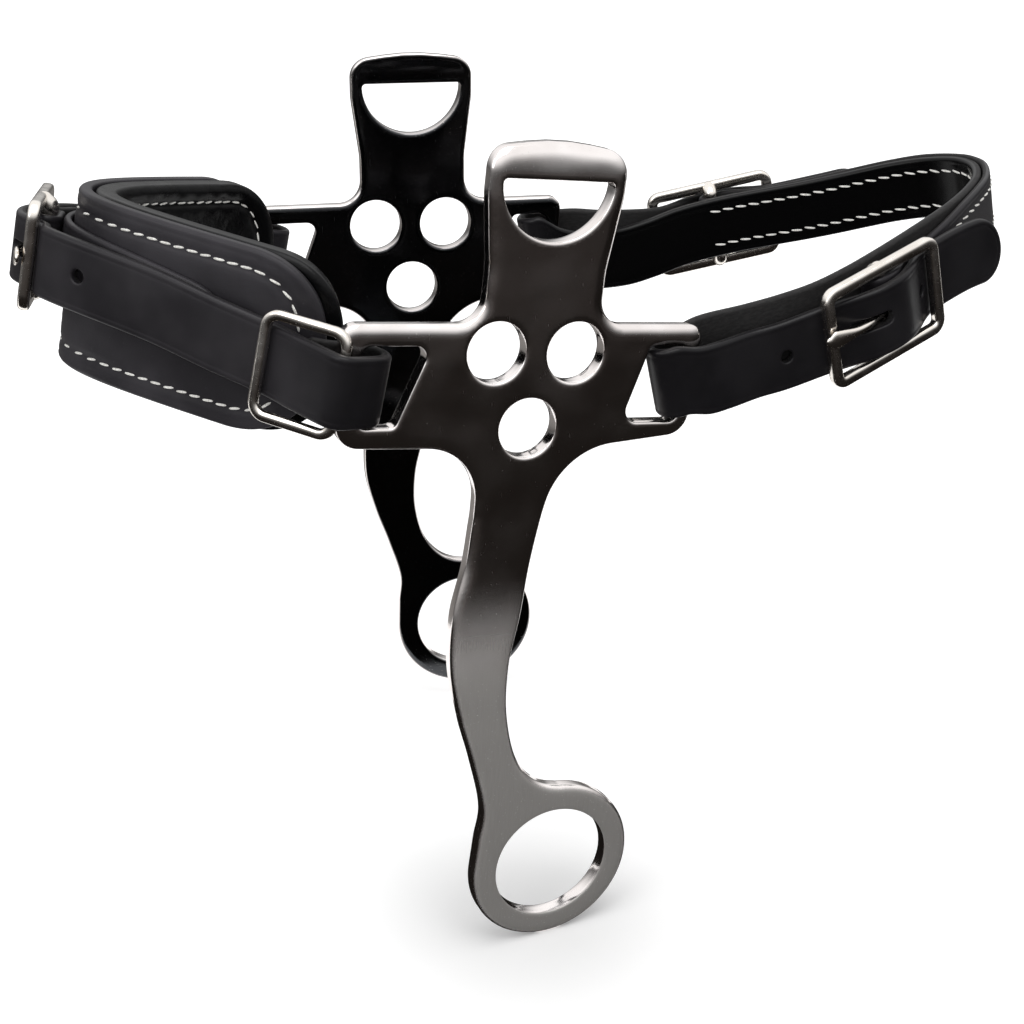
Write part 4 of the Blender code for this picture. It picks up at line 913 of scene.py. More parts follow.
def strap_piece(name, strap, width, thickness, grain, tips, holes, body, nodes, material,
                shade_runs=(0.0, 0.0, 0.0, 0.0)):
    """A strap cut from its outline, with burnished edges and a creased line along the
    smooth side, whose depth has the sign of grain. The last argument gives first run, last run
    and how strong a painted near-black shade is between them and beyond them."""
    rims = (0.07, 0.25, 0.5, 0.85, 1.25, CREASE - 0.25, CREASE, CREASE + 0.25)
    outline = strap_outline(strap.length, width, tips)
    plan, tris, borders, edge, hole = sheet_plan(outline, holes, rims, hole_rims=(0.08, 0.3, 0.6),
                                                 fine=0.7, band=3.2, coarse=1.05)
    press = CREASE_DEPTH * hump(edge, CREASE, 0.24)
    lip = pillow(hole, 0.6, 0.35)
    bright = thickness / 2.0 - pillow(edge, 1.15, 0.40 * thickness) - press - lip
    flesh = thickness / 2.0 - pillow(edge, 0.95, 0.34 * thickness) - lip * 0.6
    front, back = (bright, -flesh) if grain > 0 else (flesh, -bright)
    flat, faces = solid_sheet(plan, tris, borders, front, back, 3)
    smooth_side = np.clip(flat[:, 2] * grain / thickness + 0.5, 0.0, 1.0)
    cut = np.concatenate([np.clip(1.0 - edge / 1.6, 0.0, 1.0)] * 2)
    cut = np.concatenate([cut, np.ones(len(flat) - len(cut))])
    # Painted shade: a near-black mark between the first and last runs, eased in, and a weaker one beyond
    # them.
    first, last, held, rest = shade_runs
    run = flat[:, 0]
    deep = np.clip((run - first) / PAINTED_SHADE_EASE, 0.0, 1.0) * np.clip((last - run) / PAINTED_SHADE_EASE, 0.0, 1.0)
    deep = rest + (held - rest) * deep
    placed = strap.at(flat[:, 0], flat[:, 1], flat[:, 2])
    return piece(name, placed, faces, material, body, nodes, flat[:, :2],
                 {"smooth_side": smooth_side, "cut_edge": cut, "deep": deep})


guard_d = pad_outer + PLY_GAP + GUARD / 2.0
guard_top = pad_outer + PLY_GAP + GUARD
guard_end = nose_line.s_of(GUARD_REACH)
guard_plan = nose_line.at(np.linspace(-guard_end, guard_end, 46), guard_d)
guard_line = np.column_stack([guard_plan, nose_height(guard_plan[:, 0], -1) + GUARD_LIFT])
strap_piece("guard_strip", Strap(nose, guard_line), GUARD_WIDTH, GUARD, -1.0, (GUARD_TIP, GUARD_TIP), [],
            "noseband", ["nose_guard_strip"], shell_leather)

# Nose straps. Two bridle-leather straps, each folded through a plate's front slot,
# led through its slide ring and round the front; the near one is the billet that
# passes the buckle, the far one turns back round the buckle's middle bar.
SLIDE_WIRE = 2.8
SLIDE_FRONT = (31.0, 56.9)
SLIDE_SETBACK = 3.3
SLIDE_STAND_OFF = 2.4
RETURN_PLY = 9.5
BUCKLE_WIRE = 3.4
BAR_WIRE = 3.2
PUNCH = 3.6
TONGUE_SLOT = 3.8
NOSE_BUCKLE_LENGTH = 34.0
NOSE_BUCKLE_SIDE = 5.0
TONGUE_WIRE = 2.0
TONGUE_GAP = 0.3
NOSE_CHAPE = 6.8
NOSE_END_RISE = 1.6
NOSE_TIP_REACH = 25.0
NOSE_HOLE_STEP = 24.7
# First and last run of a painted near-black shade on the near nose strap, its strength between them and
# beyond.
NOSE_PAINTED_SHADE = (-20.0, 52.0, 0.5, 0.0)
CHAPE_SLOT = 4.6
STRAP_TIP = 9.0

bar_radius, end_radius = BAR_WIRE / 2.0, BUCKLE_WIRE / 2.0
chape_thickness = STRAP - 0.4
chape_half = chape_thickness / 2.0
chape_radius = bar_radius + TONGUE_GAP + chape_half
far_strap_d = guard_top + PLY_GAP + chape_half
nose_bar_d = far_strap_d + chape_radius
far_end_d = far_strap_d + chape_half + PLY_GAP + STRAP + PLY_GAP + end_radius
near_strap_d = guard_top + PLY_GAP + strap_half
over_bar = chape_radius + chape_half + PLY_GAP + strap_half
under_end = end_radius + PLY_GAP + strap_half
nose_half_span = (NOSE_BUCKLE_LENGTH - BUCKLE_WIRE) / 2.0
bar_s = nose_line.nearest(lambda pts: pts[:, 1] - NOSE_BUCKLE_SIDE, nose_bar_d)
bar_plan = nose_line.at(bar_s, nose_bar_d)


def beyond_bar(pts):
    """How far points are from half a buckle's length beyond the bar, to its far side."""
    gap = np.abs(np.linalg.norm(pts - bar_plan, axis=1) - nose_half_span)
    return gap + np.where(pts[:, 1] > bar_plan[1], 0.0, 1e3)


end_s = nose_line.nearest(beyond_bar, far_end_d)
bar_way = (nose_line.at(end_s, far_end_d) - bar_plan) / nose_half_span
bar_out = np.array([-bar_way[1], bar_way[0]])
near_end = bar_plan - bar_way * nose_half_span + bar_out * NOSE_END_RISE
far_end = bar_plan + bar_way * nose_half_span + bar_out * NOSE_END_RISE


def bar_point(bar, a, b, side):
    """Plan point at a rearward of a plate's bar and b outside the plate's middle."""
    toe = math.radians(PLATE_TOE)
    return np.array([bar[0] + a * math.cos(toe) + b * math.sin(toe),
                     bar[1] + side * (b * math.cos(toe) - a * math.sin(toe))])


def fold(bar, side, centre, direction, start=90.0):
    """Half turn of a strap round a bar, from outside the plate to inside it."""
    return [bar_point(bar, centre + direction * fold_radius * math.cos(a), fold_radius * math.sin(a), side)
            for a in np.radians(np.linspace(start, -90.0, 7))]


slide_radius = SLIDE_WIRE / 2.0
slide_step = slide_radius + 0.35 + strap_half


def slide_points(side):
    """Plan points of a slide ring's front and rear bars."""
    rear = bar_point(bar_local[side], -SLIDE_SETBACK, PLATE_THICKNESS / 2.0 + SLIDE_STAND_OFF, side)
    return np.array(SLIDE_FRONT) * (1.0, side), rear


def strap_from_fold(side):
    """From the turned-in end round the plate's bar, outside the ring's rear bar and
    inside its front bar, on their common inner tangent: sin(phi) = 2 step / span."""
    bar = bar_local[side]
    front, rear = slide_points(side)
    span = rear - front
    phi = math.asin(2.0 * slide_step / np.linalg.norm(span)) + math.atan2(side * span[1], span[0])
    normal = np.array([-side * math.sin(phi), math.cos(phi)]) * side
    pts = [bar_point(bar, -a, -fold_radius, side) for a in (RETURN_PLY, 5.0, 0.5)]
    pts += fold(bar, side, front_fold, 1.0, 67.0)[::-1]
    for a in np.radians((72.0, 98.0, 124.0)):
        pts.append(rear + (bar_point(bar, math.cos(a), math.sin(a), side) - bar[:2]) * slide_step)
    return pts + [rear + normal * slide_step, (rear + front) / 2.0, front - normal * slide_step]


near_pts = strap_from_fold(-1)
near_pts += [nose_line.at(-nose_line.s_of(p, near_strap_d), near_strap_d) for p in (21.0, 8.0)]
near_pts += [near_end - bar_way * 1.0 - bar_out * (under_end + 0.1),
             near_end + bar_way * 2.6 - bar_out * (under_end - 0.6)]
near_pts += [bar_plan + bar_way * a + bar_out * b for a, b in
             ((-4.5, over_bar - 1.0), (0.0, over_bar), (4.5, over_bar - 0.7), (9.0, 3.1), (12.0, -0.3))]
near_pts.append(far_end + bar_way * 0.2 - bar_out * (under_end + 0.3))
tip_s = nose_line.s_of(NOSE_TIP_REACH, far_end_d)
near_pts += [nose_line.at(s, far_end_d - under_end + lift) for s, lift in
             ((end_s + 5.0, 0.2), ((end_s + tip_s) / 2.0, 0.0), (tip_s, 0.5))]
near_plan = np.array(near_pts)
near_strap = Strap(nose, np.column_stack([near_plan, nose_height(near_plan[:, 0], -1)]))

far_pts = strap_from_fold(1)
far_pts += [nose_line.at(s, far_strap_d) for s in
            (nose_line.s_of(21.0, far_strap_d), nose_line.s_of(12.0, far_strap_d), end_s + 5.0, end_s + 2.0)]
far_pts += [bar_plan + bar_way * a + bar_out * b for a, b in
            ((14.0, -5.7), (11.0, -3.9), (7.5, -0.4), (4.0, chape_radius - 0.8))]
far_pts += [bar_plan + chape_radius * (bar_way * math.cos(a) + bar_out * math.sin(a))
            for a in np.radians(np.linspace(90.0, 270.0, 7))]
far_pts += [bar_plan + bar_way * NOSE_CHAPE * 0.5 - bar_out * chape_radius,
            bar_plan + bar_way * NOSE_CHAPE - bar_out * (chape_radius + 0.3)]
far_plan = np.array(far_pts)
far_strap = Strap(nose, np.column_stack([far_plan, nose_height(far_plan[:, 0], 1)]))


def strap_leather():
    """Bridle leather: waxed smooth side with faint grain and handling marks, a duller
    flesh side with short fibres, and burnished edges that shine a little."""
    mat, t = new_material("strap_leather", specular_ior_level=0.18)
    patch = t.noise(t.place, 45.0, 3.0)
    smooth_side = t.span(t.mark("smooth_side"), 0.4, 0.6)
    edge = t.span(t.mark("cut_edge"), 0.35, 0.9)
    fibres = t.noise(t.stretch(t.pattern, (500.0, 1500.0, 1.0)), 1.0, 4.0, 0.7)
    deep = t.mark("deep")
    colour = t.blend(t.span(patch, 0.3, 0.7), (0.0150, 0.0138, 0.0162), (0.0270, 0.0250, 0.0285))
    rubbed = t.span(t.noise(t.place, 300.0, 3.0, 0.65), 0.55, 0.8, 0.0, 0.5)
    colour = t.blend(t.blend(edge, 0.0, rubbed), colour, (0.040, 0.037, 0.036))
    flesh = t.blend(t.span(fibres, 0.3, 0.7), (0.014, 0.0135, 0.014), (0.026, 0.025, 0.025))
    # Painted shade: the colour goes near black where the painted shade mark is high; the same mark makes the
    # leather smoother.
    colour = t.blend(deep, colour, (0.0020, 0.0020, 0.0022))
    t.give("Base Color", t.blend(smooth_side, flesh, colour))
    shine = t.blend(deep, t.span(patch, 0.28, 0.74, 0.34, 0.50), 0.22)
    shine = t.blend(edge, shine, 0.28)
    t.give("Roughness", t.blend(smooth_side, 0.62, shine))
    broad = t.bump(t.noise(t.place, 90.0, 2.0), 0.10, 0.0009)
    pores = t.bump(t.cells(t.place, 1500.0), 0.07, 0.00010, broad)
    t.give("Normal", t.bump(t.blend(smooth_side, fibres, 0.5), 0.3, 0.00012, pores))
    return mat


bridle = strap_leather()
slot_low, slot_high = near_strap.inside(bar_plan - bar_way * 5.8 + bar_out * 3.0, bar_way, 9.4, bar_out, 12.0)
slot_middle = (slot_low + slot_high) / 2.0
holes = [oval(slot_middle, 0.0, slot_high - slot_low, TONGUE_SLOT)]
holes += [oval(slot_middle + step * NOSE_HOLE_STEP, 0.3, PUNCH, PUNCH) for step in (-1.0, 1.0, 2.0)]
strap_piece("near_nose_strap", near_strap, STRAP_WIDTH, STRAP, -1.0, (0.0, STRAP_TIP), holes, "noseband",
            ["near_nose_strap"], bridle, NOSE_PAINTED_SHADE)
slot_low, slot_high = far_strap.inside(bar_plan - bar_way * 0.4, bar_way, 10.4, bar_out, 13.0)
holes = [oval((slot_low + slot_high) / 2.0, 0.0, slot_high - slot_low, CHAPE_SLOT)]
strap_piece("far_nose_strap", far_strap, STRAP_WIDTH, chape_thickness, 1.0, (0.0, 0.0), holes, "noseband",
            ["far_nose_strap"], bridle)

# Slide rings. Rectangular rings bent from nickel-plated wire, flattened a little
# and welded; each gathers a nose strap where it leaves the plate.
SLIDE_HEIGHT = 28.6
SLIDE_CORNER = 5.0


def frame_line(band, middle, way, height, length, tall, corner, slope=0.0):
    """Closed line of a rectangular frame with rounded corners, in a band's frame."""
    a, b = length / 2.0, tall / 2.0
    shape = even_loop(rounded([(-a, -b, corner), (a, -b, corner), (a, b, corner), (-a, b, corner)], 4.0), 0.6)
    return band.world(np.column_stack([middle[0] + shape[:, 0] * way[0], middle[1] + shape[:, 0] * way[1],
                                       height + shape[:, 1] + slope * shape[:, 0]]))


def section(half_a, half_b, power, count=20):
    """Outline of a drawn wire: |x/a|^n + |y/b|^n = 1."""
    t = (np.arange(count) + 0.5) * 2.0 * math.pi / count
    c, s = np.cos(t), np.sin(t)
    return np.stack([half_a * np.sign(c) * np.abs(c) ** (2.0 / power),
                     half_b * np.sign(s) * np.abs(s) ** (2.0 / power)], axis=1)


def wire_ring(line, across, shape):
    """A section carried round a closed line; its y axis is the frame's normal."""
    way = np.roll(line, -1, axis=0) - np.roll(line, 1, axis=0)
    out = unit(np.cross(way, across))
    up = unit(np.cross(out, way))
    points = line[:, None] + shape[None, :, :1] * out[:, None] + shape[None, :, 1:] * up[:, None]
    n, m = len(line), len(shape)
    i, k = np.divmod(np.arange(n * m), m)
    j, l = (i + 1) % n, (k + 1) % m
    faces = np.stack([i * m + k, i * m + l, j * m + l, j * m + k], axis=1)
    run = run_along(line)
    pattern = np.column_stack([np.repeat(run, m), np.tile(np.arange(m) * 0.5, n)])
    return points.reshape(-1, 3), faces, pattern


def bright_nickel():
    """Nickel plate over polished wire: warm white, faint lines of the buffing wheel
    along the wire, a few fine scratches and slightly dull, finger-marked patches."""
    mat, t = new_material("bright_nickel", metallic=1.0)
    patch = t.noise(t.place, 120.0, 3.0)
    wheel = t.noise(t.stretch(t.pattern, (180.0, 3500.0, 1.0)), 1.0, 3.0, 0.6)
    scratch = t.span(t.noise(t.stretch(t.place, (900.0, 4200.0, 2400.0)), 1.0, 2.0), 0.70, 0.72)
    t.give("Base Color", t.blend(t.span(patch, 0.3, 0.72), (0.77, 0.725, 0.67), (0.85, 0.81, 0.76)))
    rough = t.span(patch, 0.3, 0.75, 0.14, 0.24)
    t.give("Roughness", t.blend(t.span(scratch, 0.0, 1.0, 0.0, 0.5), rough, 0.4))
    wavy = t.bump(t.noise(t.place, 170.0, 1.0), 0.25, 0.0005)
    t.give("Normal", t.bump(wheel, 0.05, 0.0001, wavy))
    return mat


nickel = bright_nickel()
for side, word in ((-1, "near"), (1, "far")):
    front, rear = slide_points(side)
    middle, span = (front + rear) / 2.0, np.linalg.norm(rear - front)
    way = (rear - front) / span
    line = frame_line(nose, middle, way, float(nose_height(middle[0], side)), span, SLIDE_HEIGHT - SLIDE_WIRE,
                      SLIDE_CORNER - slide_radius)
    points, faces, pattern = wire_ring(line, nose.way((-way[1], way[0])),
                                       section(slide_radius, slide_radius * 0.94, 2.8))
    piece(word + "_slide_ring", points, faces, nickel, "noseband", [word + "_slide_ring"],
          pattern)

# Buckles. Each is a nickel-plated frame of squarish section, a round middle bar whose
# ends swell into bosses on the frame's back, and a tongue bent round that bar. The
# nose buckle rides on the noseband, turned into the end of the far nose strap.
BUCKLE_HEIGHT = 29.0
BUCKLE_CORNER = 2.6
BOSS_REACH = 2.4
BOSS_SWELL = 0.75
LEAF_LENGTH = 11.0
LEAF_END = 2.4
LEAF_SWELL = 1.4
LEAF_FLATTEN = 0.30
ARM_LENGTH = 16.0
ARM_SWELL = 0.2


def rod(line, half_a, half_b, up, power=2.0, count=16):
    """A section carried along an open line and closed by round ends: near an end the
    size goes as sqrt(1 - t^2). half_a lies across up, half_b along it."""
    way = unit(np.gradient(line, axis=0))
    t = np.sin(np.linspace(0.0, math.pi / 2.0, 6))[1:]
    ends = []
    for spot, step, k in ((line[0], -way[0], 0), (line[-1], way[-1], -1)):
        ends.append((spot + step * (half_b[k] * t)[:, None], np.sqrt(1.0 - np.minimum(t, 0.995) ** 2)))
    line = np.vstack([ends[0][0][::-1], line, ends[1][0]])
    shrink = np.concatenate([ends[0][1][::-1], np.ones(len(way)), ends[1][1]])
    size_a = np.concatenate([np.full(5, half_a[0]), half_a, np.full(5, half_a[-1])]) * shrink
    size_b = np.concatenate([np.full(5, half_b[0]), half_b, np.full(5, half_b[-1])]) * shrink
    way = np.vstack([np.tile(way[0], (5, 1)), way, np.tile(way[-1], (5, 1))])
    side = unit(np.cross(way, up))
    lift = np.cross(side, way)
    shape = section(1.0, 1.0, power, count)
    points = (line[:, None] + (size_a[:, None] * shape[:, 0])[..., None] * side[:, None]
              + (size_b[:, None] * shape[:, 1])[..., None] * lift[:, None])
    n = len(line)
    i, k = np.divmod(np.arange((n - 1) * count), count)
    l = (k + 1) % count
    quads = np.stack([i * count + k, i * count + l, (i + 1) * count + l, (i + 1) * count + k], axis=1)
    around, after = np.arange(count), (np.arange(count) + 1) % count
    caps = np.vstack([np.stack([after, around, np.full(count, n * count)], axis=1),
                      np.stack([around + (n - 1) * count, after + (n - 1) * count,
                                np.full(count, n * count + 1)], axis=1)])
    points = np.vstack([points.reshape(-1, 3), line[:1], line[-1:]])
    run = run_along(line)
    pattern = np.column_stack([np.repeat(run, count), np.tile(np.arange(count) * 0.4, n)])
    pattern = np.vstack([pattern, [[0.0, 0.0], [run[-1], 0.0]]])
    return points, np.vstack([halves(quads), caps]), pattern


def together(parts):
    """One set of points, triangles and pattern from several."""
    points, faces, patterns, used = [], [], [], 0
    for p, f, pattern in parts:
        tri = f if f.shape[1] == 3 else halves(f)
        points.append(p)
        faces.append(tri + used)
        patterns.append(pattern)
        used += len(p)
    return np.vstack(points), np.vstack(faces), np.vstack(patterns)


def buckle(name, body, band, foot, way, out, height, length, rise, slope, power):
    """Frame whose plane stands rise outside its middle bar, raised by slope along it."""
    centre = foot + out * rise
    line = frame_line(band, centre, way, height, length - BUCKLE_WIRE, BUCKLE_HEIGHT - BUCKLE_WIRE,
                      BUCKLE_CORNER, slope)
    frame_part = wire_ring(line, band.way(out), section(end_radius, end_radius * 0.94, power, 24))
    top = (BUCKLE_HEIGHT - BUCKLE_WIRE) / 2.0
    inner = top - end_radius - 0.2
    spots = [(*centre, height - top + 0.4), (*foot, height - inner), (*foot, height), (*foot, height + inner),
             (*centre, height + top - 0.4)]
    line = band.world(line_through(spots, 0.5, 6.0))
    near_frame = np.minimum(np.linalg.norm(line - line[0], axis=1), np.linalg.norm(line - line[-1], axis=1))
    swell = BOSS_SWELL * hump(np.maximum(near_frame - end_radius - 0.4, 0.0), 0.0, BOSS_REACH)
    line = line - band.way(out) * swell[:, None]
    bar_part = rod(line, bar_radius + swell, bar_radius + swell, band.way(way))
    points, faces, pattern = together([frame_part, bar_part])
    return piece(name, points, faces, nickel, body, [name], pattern)


def tongue(name, node, body, band, bar, towards, out, height, reach):
    """A loop round the bar, then a rod that flattens to a leaf over the end bar."""
    r = bar_radius + TONGUE_GAP + TONGUE_WIRE / 2.0
    turn = np.radians(np.linspace(-150.0, 90.0, 40))
    loop = bar + r * (np.sin(turn)[:, None] * out - np.cos(turn)[:, None] * towards)
    arm = line_through(np.vstack([loop[-1:]] + [[bar + towards * a + out * b] for a, b in reach]), 0.6, 6.0)
    plan = np.vstack([loop, arm[1:]])
    line = band.world(np.column_stack([plan, np.full(len(plan), height)]))
    run = run_along(line)
    left = run[-1] - run
    leaf = ease(np.clip(1.0 - left / LEAF_LENGTH, 0.0, 1.0))
    end = np.sqrt(np.clip(left / LEAF_END + 0.3, 0.0, 1.0))
    wide = TONGUE_WIRE / 2.0 * (1.0 + ARM_SWELL * (left < ARM_LENGTH) + LEAF_SWELL * leaf) * end
    thick = TONGUE_WIRE / 2.0 * (1.0 - LEAF_FLATTEN * leaf)
    points, faces, pattern = rod(line, thick, wide, band.axes[2], 2.3)
    return piece(name, points, faces, nickel, body, [node], pattern)


buckle_height = float(nose_height(bar_plan[0], -1))
buckle("nose_buckle", "noseband", nose, bar_plan, bar_way, bar_out, buckle_height,
       NOSE_BUCKLE_LENGTH, NOSE_END_RISE, 0.0, 3.0)
rest = NOSE_END_RISE + end_radius + TONGUE_WIRE / 2.0 + TONGUE_GAP
tongue("nose_tongue", "nose_buckle_tongue", "nose_tongue", nose, bar_plan, -bar_way, bar_out, buckle_height,
       [(3.2, bar_radius + TONGUE_GAP + TONGUE_WIRE / 2.0), (9.0, rest + 0.2), (nose_half_span, rest + 0.1),
        (nose_half_span + 2.4, rest - 0.3)])

# Curb strap. One long strap from billet to billet: through the far buckle, round
# the far plate's rear bar, behind the jaw and back the same way on the near side.
# The outer ply is sewn over its middle and turned round the two buckle bars.
CURB_RISE = 12.4
CURB_WIDTH = 19.6
CURB_REACH = 119.8
# First and last run of a painted near-black shade on the curb strap, its strength between them and beyond.
CURB_PAINTED_SHADE = (128.0, 428.0, 1.0, 0.55)
CURB_TAPER = 0.81
CURB_BEND = 15.8
CURB_PULL = 0.58702
OUTER_PLY = 2.2
OUTER_PLY_WIDTH = 19.2
CURB_CHAPE = 9.0
PLY_LANDING = 13.0
PLY_NOTCH = 4.8
CURB_SLOT_REACH = 7.0
CURB_SLOT_LENGTH = 13.0
CURB_HOLE_STEPS = (21.4, -24.8)
CURB_BUCKLE_LENGTH = 42.0
CURB_BUCKLE_SETBACK = 61.8
CURB_TIP = 32.0
CURB_TIP_LEAN = 5.0
CURB_END_RISE = 2.2
CURB_BUCKLE_HEIGHT = {-1: -4.1, 1: -4.9}
CURB_BUCKLE_SLOPE = {-1: 0.07, 1: 0.0}
REAR_SAG = {-1: 0.0, 1: 0.4}
REAR_SLACK = 4.6
INNER_LINE = {-1: ((-1.0, -2.0), (7.0, -0.8), (18.0, -0.8), (30.0, -1.2), (42.0, -1.3), (56.0, -0.2),
                   (72.0, 1.0), (85.0, 1.4), (100.0, 1.2), (119.8, 0.5)),
              1: ((-1.0, 4.4), (9.0, -0.8), (20.0, -4.6), (28.0, -5.3), (38.0, -4.7), (48.0, -3.7),
                  (64.0, -3.7), (77.0, -3.9), (88.0, -3.5), (99.0, -2.3), (109.0, -0.8), (119.8, 0.5))}
PLY_LINE = {-1: ((50.0, -3.2), (70.0, -3.0), (84.0, -1.8), (97.0, 0.3), (110.0, 1.0), (119.8, 0.7)),
            1: ((50.0, -4.3), (70.0, -4.2), (80.0, -4.0), (90.0, -3.4), (99.0, -2.3), (109.0, -0.8),
                (119.8, 0.7))}
BILLET_LINE = {-1: ((-1.0, -4.2), (4.0, -5.4), (14.0, -6.8), (26.0, -7.4), (38.0, -6.6), (48.0, -5.4),
                    (60.0, -4.2), (75.0, -2.8), (88.0, -1.7), (98.0, -2.6), (115.0, -4.6)),
               1: ((-1.0, 5.6), (8.0, 4.6), (18.0, 2.2), (29.0, -1.0), (41.0, -3.9), (50.0, -4.5),
                   (65.0, -4.6), (80.0, -4.7), (94.0, -4.4), (118.0, -3.4))}


def height_on(stations, x):
    """Monotone cubic (Hermite) through stations without overshoot: the slope at a
    station is the weighted harmonic mean of the slopes beside it. The curb's stations
    give the distance behind the rear bars and the strap's height there."""
    xs, ys = np.array(stations, float).T
    h = np.diff(xs)
    d = np.diff(ys) / h
    w1, w2 = 2.0 * h[1:] + h[:-1], h[1:] + 2.0 * h[:-1]
    rising = d[:-1] * d[1:] > 0.0
    safe = np.where(d == 0.0, 1.0, d)
    m = np.where(rising, (w1 + w2) / (w1 / safe[:-1] + w2 / safe[1:]), 0.0)
    m = np.concatenate([d[:1], m, d[-1:]])
    x = float(np.clip(x, xs[0], xs[-1]))
    i = int(np.clip(np.searchsorted(xs, x) - 1, 0, len(h) - 1))
    t = (x - xs[i]) / h[i]
    return ((1 + 2 * t) * (1 - t) ** 2 * ys[i] + t * (1 - t) ** 2 * h[i] * m[i]
            + t ** 2 * (3 - 2 * t) * ys[i + 1] + t ** 2 * (t - 1) * h[i] * m[i + 1])


rear_fold = -(REAR_BAR / 2.0 + REAR_SLACK - (fold_radius - strap_half))
rear_bars = {}
for side in (-1, 1):
    start, along_u = plate_axes(side)[:2]
    rear_bars[side] = start + (rear_bar_u - front_bar_u) * along_u
curb = Band((rear_bars[-1] + rear_bars[1]) / 2.0, -CURB_RISE)
curb_bars = {side: curb.local(rear_bars[side]) for side in (-1, 1)}
depth = np.linspace(0.0, 1.0, 900) ** 2 * CURB_REACH
half_width = np.sqrt((CURB_TAPER * depth) ** 2 + 2.0 * CURB_BEND * depth)
curb_line = Line(depth, half_width * (1.0 - CURB_PULL * depth / CURB_REACH))


def curb_at(s, d):
    """Plan point on the curb's inner line, s from its rear end and d outside it."""
    p, q = curb_line.at(s, d)
    return np.array([CURB_REACH - p, q])


def curb_s(p, d=0.0):
    """Run on the curb's line whose point at distance d lies at p."""
    return curb_line.s_of(CURB_REACH - p, d)


ply_half = OUTER_PLY / 2.0
lined_d = STRAP + PLY_GAP + ply_half
curb_chape_radius = bar_radius + TONGUE_GAP + ply_half
curb_bar_d = lined_d + curb_chape_radius
curb_over = curb_chape_radius + ply_half + PLY_GAP + strap_half
billet_d = STRAP + PLY_GAP + strap_half
curb_half_span = (CURB_BUCKLE_LENGTH - BUCKLE_WIRE) / 2.0
buckles, curb_fold_height = {}, {}
for side in (-1, 1):
    middle_s = side * curb_s(CURB_REACH - CURB_BUCKLE_SETBACK, curb_bar_d)
    plane = curb_at(middle_s, curb_bar_d)
    out = curb_at(middle_s, curb_bar_d + 1.0) - plane
    way = np.array([side * out[1], -side * out[0]])
    base = plane + out * CURB_END_RISE
    buckles[side] = plane, out, way, base - way * curb_half_span, base + way * curb_half_span
    fold_middle = rear_bars[side] + (rear_fold - fold_radius) * plate_axes(side)[1]
    curb_fold_height[side] = curb.local(fold_middle)[2] - REAR_SAG[side]


def curb_side(side):
    """Points (p, q, v) from a billet's tip, through its buckle and slot, to the rear."""
    bar = curb_bars[side]
    plane, out, way, front, rear = buckles[side]
    held = rear - out * under_end
    tip = math.radians(CURB_TIP_LEAN)
    lean = way * math.cos(tip) - out * math.sin(tip)
    pts = [held + lean * reach for reach in (CURB_TIP, CURB_TIP * 0.55, 4.0, 0.0)]
    pts += [plane + way * a + out * b for a, b in
            ((15.0, 0.4), (10.0, 3.2), (5.0, curb_over - 0.6), (0.0, curb_over), (-5.5, curb_over - 0.9))]
    pts.append(front + way * 2.0 - out * under_end)
    front_p = front[0] - 13.0
    pts += [curb_at(side * curb_s(front_p, billet_d), billet_d + 0.4),
            curb_at(side * curb_s(front_p - 8.0, billet_d), billet_d + 0.5)]
    pts = [[*pt, height_on(BILLET_LINE[side], pt[0])] for pt in pts]
    for a, b in ((10.0, fold_radius - 1.6), (3.0, fold_radius - 0.1)):
        pts.append([*bar_point(bar, a, b, side), height_on(BILLET_LINE[side], bar[0] + a)])
    pts += [[*pt, curb_fold_height[side]] for pt in fold(bar, side, rear_fold, -1.0)]
    for a in (3.0, 9.0):
        pts.append([*bar_point(bar, a, -fold_radius, side), height_on(INNER_LINE[side], bar[0] + a)])
    for s in np.linspace(curb_s(bar[0] + 22.0), 5.0, 12):
        pt = curb_at(side * s, strap_half)
        pts.append([*pt, height_on(INNER_LINE[side], pt[0])])
    return pts


def ply_side(side):
    """Points of the outer ply from its turned-under end, round the bar, to the rear."""
    plane, out, way = buckles[side][:3]
    r = curb_chape_radius
    pts = [plane + way * CURB_CHAPE - out * (r + 0.4), plane + way * CURB_CHAPE * 0.5 - out * r]
    pts += [plane + r * (way * math.cos(a) + out * math.sin(a))
            for a in np.radians(np.linspace(-90.0, -270.0, 7))]
    pts += [plane + way * a + out * b for a, b in ((5.0, r - 0.8), (9.0, 0.2), (PLY_LANDING, -2.6))]
    end_s = curb_s(plane[0] + way[0] * (CURB_CHAPE + PLY_LANDING), lined_d)
    pts += [curb_at(side * s, lined_d) for s in np.linspace(end_s, 5.0, 6)]
    return [[*pt, height_on(PLY_LINE[side], pt[0])] for pt in pts]


middle = [[*curb_at(0.001, strap_half), height_on(INNER_LINE[-1], CURB_REACH)]]
curb_strap = Strap(curb, curb_side(-1) + middle + curb_side(1)[::-1])
middle = [[*curb_at(0.001, lined_d), height_on(PLY_LINE[-1], CURB_REACH)]]
outer_ply = Strap(curb, ply_side(-1) + middle + ply_side(1)[::-1])

